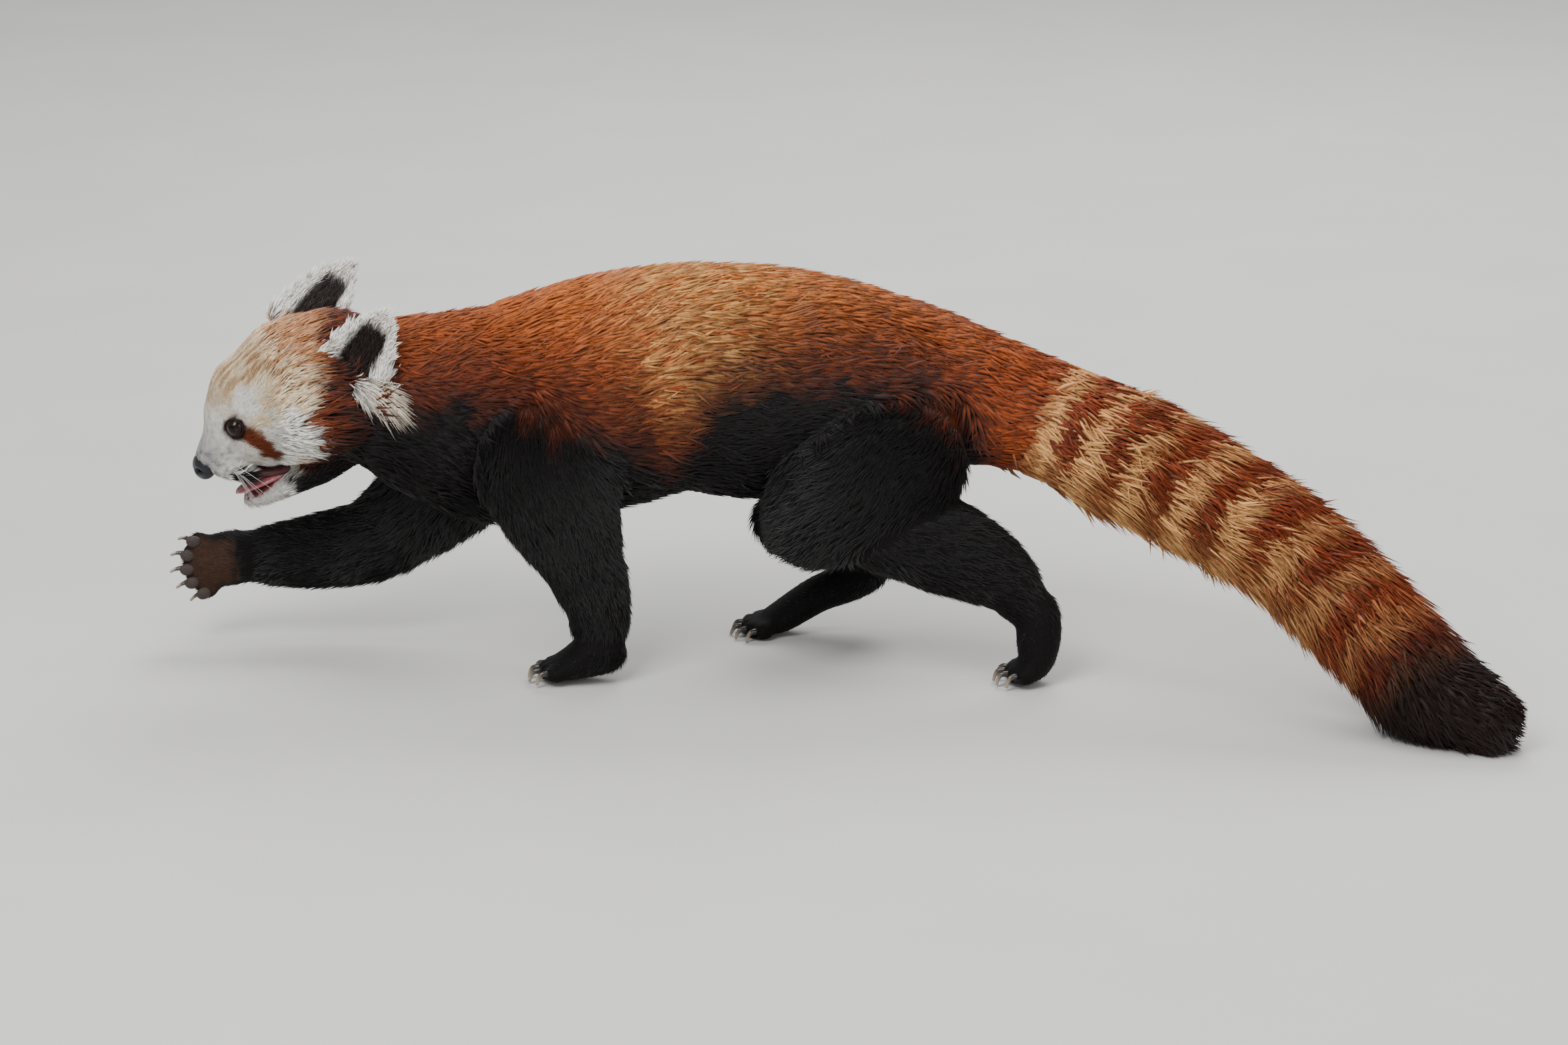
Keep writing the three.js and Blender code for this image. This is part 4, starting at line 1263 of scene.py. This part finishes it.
@dataclass
class Face:
    """The bare pieces of the head: eyes, lids, nose pad, tongue, mouth lining and whiskers."""

    lid_width: float = 1.2
    whiskers_a_side: int = 16

    def eye(self, side: int) -> None:
        """An eyeball with a brown iris and a dark pupil, and its rim.

        The ball has its pole on the way it looks, and its colour goes by the angle from that pole.
        """
        node = "eye_left" if side < 0 else "eye_right"
        low, high = (np.array(corner) * 1000 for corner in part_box(node))
        centre = (low + high) / 2 - SHIFT
        look = unit(HEAD_MATRIX @ np.array([-0.62, side * 0.78, 0.06]))
        right = unit(np.cross([0, 0, 1.0], look))
        up = np.cross(look, right)
        radius = EYE_RADIUS - LID_GAP
        polar, turn = ball_angles(36, 48, 0.03)
        bulge = radius * (1 + 0.05 * np.exp(-(polar / 0.5) ** 2))
        away = right * np.cos(turn)[..., None] + up * np.sin(turn)[..., None]
        ball = Surface.tube(centre + bulge[..., None] * (look * np.cos(polar)[..., None]
                                                         + np.sin(polar)[..., None] * away))
        made = ball.placed(node.replace("eye", "eyeball"))
        angle = np.concatenate([polar.ravel(), [0, np.pi]])
        fleck = 0.25 * waves(ball.points, 2.2, 51)
        iris = mix(srgb(36, 18, 10), srgb(22, 10, 6), smoothstep(0.4, 0.75, angle + fleck * 0.1))
        colour = mix(iris, srgb(5, 4, 4), fade(0.3, 0.38, angle))
        paint(made.data, mix(colour, srgb(16, 10, 9), smoothstep(0.72, 0.86, angle)))
        dress(made, EYE_FINISH.material(), "eye", node)
        self.lid(node, centre, look, right, up)

    def lid(self, node: str, centre: Array, look: Array, right: Array, up: Array) -> None:
        """The dark rim of an eye: a ring round the way it looks, lower in height than in width.

        Args:
            node: the eye's node.
            centre: the eyeball's middle in design millimetres.
            look: the way that the eye looks.
            right: a way square to it, level.
            up: the way square to both.
        """
        radius = EYE_RADIUS - LID_GAP
        around, across = grid(circle(56), circle(12))
        reach = 0.9 + 0.06 * np.cos(around) ** 2
        ring = (right * (np.cos(around) * radius * reach)[..., None]
                + up * (np.sin(around) * radius * 0.84)[..., None])
        thick = self.lid_width * (0.6 + 0.4 * np.abs(np.sin(around)))
        rows = (centre + look * (radius * 0.5) + ring
                + unit(ring) * (np.cos(across) * thick * 0.6)[..., None]
                + look * (np.sin(across) * thick * 0.8)[..., None])
        count, wide = around.shape
        row, k = grid(np.arange(count), np.arange(wide))
        after, beside = (row + 1) % count * wide, (k + 1) % wide
        quads = np.stack([row * wide + k, after + k, after + beside, row * wide + beside], -1)
        lid = Surface(rows.reshape(-1, 3), quads.reshape(-1, 4)).placed(node.replace("eye", "lids"))
        dress(lid, LID_FINISH.material(), "nose")

    def nose(self) -> None:
        """The nose pad: an ellipsoid flattened below, with two nostrils sunk in its front.

        Each nostril pushes the surface in by a bell of the distance from its middle; a groove
        runs down between them.
        """
        ball = ball_grid(64, 96, 0.02)
        x, y, z = np.moveaxis(ball, -1, 0)
        points = ball * [8.6, 12.0, 10.2]
        points[..., 1] *= 1 + 0.16 * np.clip(z, -1, 1)
        push = np.zeros(x.shape)
        for side in (-1, 1):
            hole = np.hypot((y - side * 0.5) / 0.26, (z + 0.22 - 0.2 * np.abs(y)) / 0.2)
            push += 4.6 * np.exp(-hole ** 2.4) * (x < 0)
            slit = np.hypot((y - side * 0.78) / 0.2, (z + 0.16) / 0.1)
            push += 2.2 * np.exp(-slit ** 2) * (x < 0.2)
        push += 1.0 * np.exp(-(y / 0.07) ** 2) * (x < 0) * (z < 0.1)
        points -= ball * push[..., None]
        piece = Surface.tube(head_to_design(points + NOSE_AT)).placed("nose")
        dress(piece, NOSE_FINISH.material(), "nose", "nose_pad")

    def tongue(self) -> None:
        """The tongue: a loft with a groove along the middle of its top."""
        made = loft(head_stations(TONGUE), 0.4, 36, 32, 0.12)
        points = made.points.copy()
        top = points[:, 2] > np.interp(-points[:, 0], [0, 52], [-47, -61])
        points[:, 2] -= 1.3 * np.exp(-(points[:, 1] / 2.6) ** 2) * top
        piece = Surface(head_to_design(points), made.quads).placed("tongue_flesh")
        dress(piece, TONGUE_FINISH.material(), "tongue", "tongue")

    def lining(self) -> None:
        """The dark roof and back of the mouth: a flat loft behind and above the tongue."""
        made = loft(head_stations(MOUTH_LINE), 0.0, 30, 32, 0.12)
        piece = Surface(head_to_design(made.points), made.quads).placed("mouth_lining")
        dress(piece, LINING_FINISH.material(), "tongue")

    def whiskers(self) -> None:
        """Long white whiskers: thin tapered tubes that arch out, back and down from the muzzle.

        Each runs root + way * length * t + bend * t squared, with a three-sided section whose
        radius falls to nothing at the tip.
        """
        rng = np.random.default_rng(61)
        t = np.linspace(0, 1, 9)[:, None]
        angle = circle(3)
        ring = np.stack([np.zeros(3), np.cos(angle), np.sin(angle)], -1)
        tubes = []
        for side in np.repeat([-1, 1], self.whiskers_a_side):
            ahead = rng.uniform(50, 64)
            out = side * np.interp(ahead, [50, 64], [18, 15])
            root = np.array([-ahead, out, rng.uniform(-40, -30)])
            way = unit(np.array([rng.uniform(-0.1, 0.4), side * rng.uniform(0.35, 0.9),
                                 rng.uniform(-1.0, -0.2)]))
            length = rng.uniform(24, 44)
            path = root + way * length * t + np.array([9, 0, -11]) * t ** 2 * length / 40
            rows = path[:, None] + ring[None] * (0.3 * (1 - 0.9 * t))[..., None]
            tubes.append(Surface.tube(head_to_design(rows)))
        piece = Surface.joined(tubes).placed("whiskers")
        dress(piece, WHISKER_FINISH.material(), "coat_white")

    def build(self) -> None:
        """Builds every bare piece of the head."""
        self.eye(-1)
        self.eye(1)
        self.nose()
        self.tongue()
        self.lining()
        self.whiskers()


class Feet:
    """Claws on every toe, and the pads of the lifted forepaw."""

    def claws(self) -> None:
        """Curved claws: a tapered loft from inside each toe, out and down past its tip."""
        surfaces, shares = [], []
        for part in LIMBS:
            for root, tip, way, under, _ in toe_frames(part):
                rows = np.array([
                    [*(root * 0.45 + tip * 0.55), 2.0, 2.2, 2.2],
                    [*(tip + way * 1.5 - under * 1.6), 1.7, 2.1, 2.1],
                    [*(tip + way * 5.2 + under * 0.4), 1.2, 1.5, 1.5],
                    [*(tip + way * CLAW_LENGTH * 0.5 + under * 5.5), 0.3, 0.3, 0.3]])
                rows[:, 2] = np.maximum(rows[:, 2], rows[:, 4] + 0.2)
                surfaces.append(loft(rows, 0.0, 16, 12, 0.0, np.cross(way, under)))
                shares.append(np.concatenate([np.repeat(np.linspace(0, 1, 17), 12), [0, 1]]))
        piece = Surface.joined(surfaces).placed("claws")
        share = smoothstep(0.3, 0.95, np.concatenate(shares))
        paint(piece.data, mix(srgb(52, 44, 40), srgb(148, 134, 116), share))
        dress(piece, CLAW_FINISH.material(), "nose")

    def pads(self) -> None:
        """Low domed pads under the lifted forepaw's toes, each a flattened ball."""
        polar, turn = ball_angles(16, 24, 0.04)
        ball = np.stack([np.sin(polar) * np.cos(turn), np.sin(polar) * np.sin(turn), np.cos(polar)], -1)
        surfaces = []
        for root, tip, way, under, radius in toe_frames(Part.FORE_RIGHT):
            centre = root * 0.25 + tip * 0.75 + under * (radius - 2.2)
            axes = np.stack([way * 5.6, np.cross(way, under) * 4.6, under * 2.6])
            surfaces.append(Surface.tube(centre + ball @ axes))
        piece = Surface.joined(surfaces).placed("toe_pads")
        dress(piece, PAD_FINISH.material(), "nose")

    def build(self) -> None:
        """Builds claws and pads."""
        self.claws()
        self.pads()


# Studio


@dataclass(frozen=True)
class Studio:
    """Floor, soft lights and the camera at the photograph's viewing angle."""

    target: tuple[float, float, float] = (-41.7, 0.0, 104.5)
    distance: float = 4000.0
    elevation: float = 15.0
    lens: float = 125.46
    floor_size: float = 120.0

    def floor(self) -> None:
        """A flat pale floor, wide enough to fill every view from above it: a grid of squares."""
        reach = np.linspace(-self.floor_size / 2, self.floor_size / 2, 9)
        x, y = grid(reach, reach)
        points = np.stack([x, y, np.zeros_like(x)], -1).reshape(-1, 3)
        row, k = grid(np.arange(8), np.arange(8))
        corner = row * 9 + k
        quads = np.stack([corner, corner + 9, corner + 10, corner + 1], -1)
        piece = new_object("floor", points, quads.reshape(-1, 4).tolist())
        piece.data.materials.append(FLOOR_FINISH.material())
        piece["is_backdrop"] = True

    def light(self, name: str, place: tuple[float, float, float], size: float, watts: float) -> None:
        """A square soft light that looks at the animal."""
        data = bpy.data.lights.new(name, "AREA")
        data.size = size
        data.energy = watts
        lamp = add_object(name, data)
        lamp.location = place
        way = Vector((0, 0, 0.15)) - Vector(place)
        lamp.rotation_euler = way.to_track_quat("-Z", "Y").to_euler()

    def camera(self) -> None:
        """The camera: azimuth 0, raised by the elevation, at the distance from the target."""
        data = bpy.data.cameras.new("camera")
        data.sensor_fit = "HORIZONTAL"
        data.sensor_width = 36.0
        data.lens = self.lens
        data.clip_end = 100.0
        piece = add_object("camera", data)
        raised = np.radians(self.elevation)
        place = np.array(self.target) + self.distance * np.array([0, -np.cos(raised), np.sin(raised)])
        turned = Matrix.Rotation(np.pi / 2 - raised, 4, "X")
        piece.matrix_world = Matrix.Translation(Vector(to_metres(place))) @ turned
        bpy.context.scene.camera = piece

    def build(self) -> None:
        """Builds floor, lights, world and camera."""
        self.floor()
        self.light("key", (-1.2, -2.2, 2.6), 1.6, 95)
        self.light("fill", (2.4, -2.6, 1.4), 2.2, 42)
        self.light("rim", (0.6, 2.2, 2.4), 1.8, 70)
        self.light("top", (0.0, -0.2, 3.2), 2.4, 45)
        world = bpy.data.worlds.new("studio")
        world.use_nodes = True
        background = world.node_tree.nodes["Background"]
        background.inputs["Color"].default_value = (0.86, 0.88, 0.9, 1)
        background.inputs["Strength"].default_value = 0.55
        bpy.context.scene.world = world
        self.camera()


def main() -> None:
    """Builds the animal and the studio."""
    logging.basicConfig(level=logging.INFO, format="%(message)s")
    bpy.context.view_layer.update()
    Studio().build()
    skin = Skin()
    piece = skin.build()
    skin.locate()
    skin.groom()
    skin.dress(piece)
    Coat(skin, COAT_FINISH.material()).build()
    Face().build()
    Feet().build()


if __name__ == "__main__":
    main()
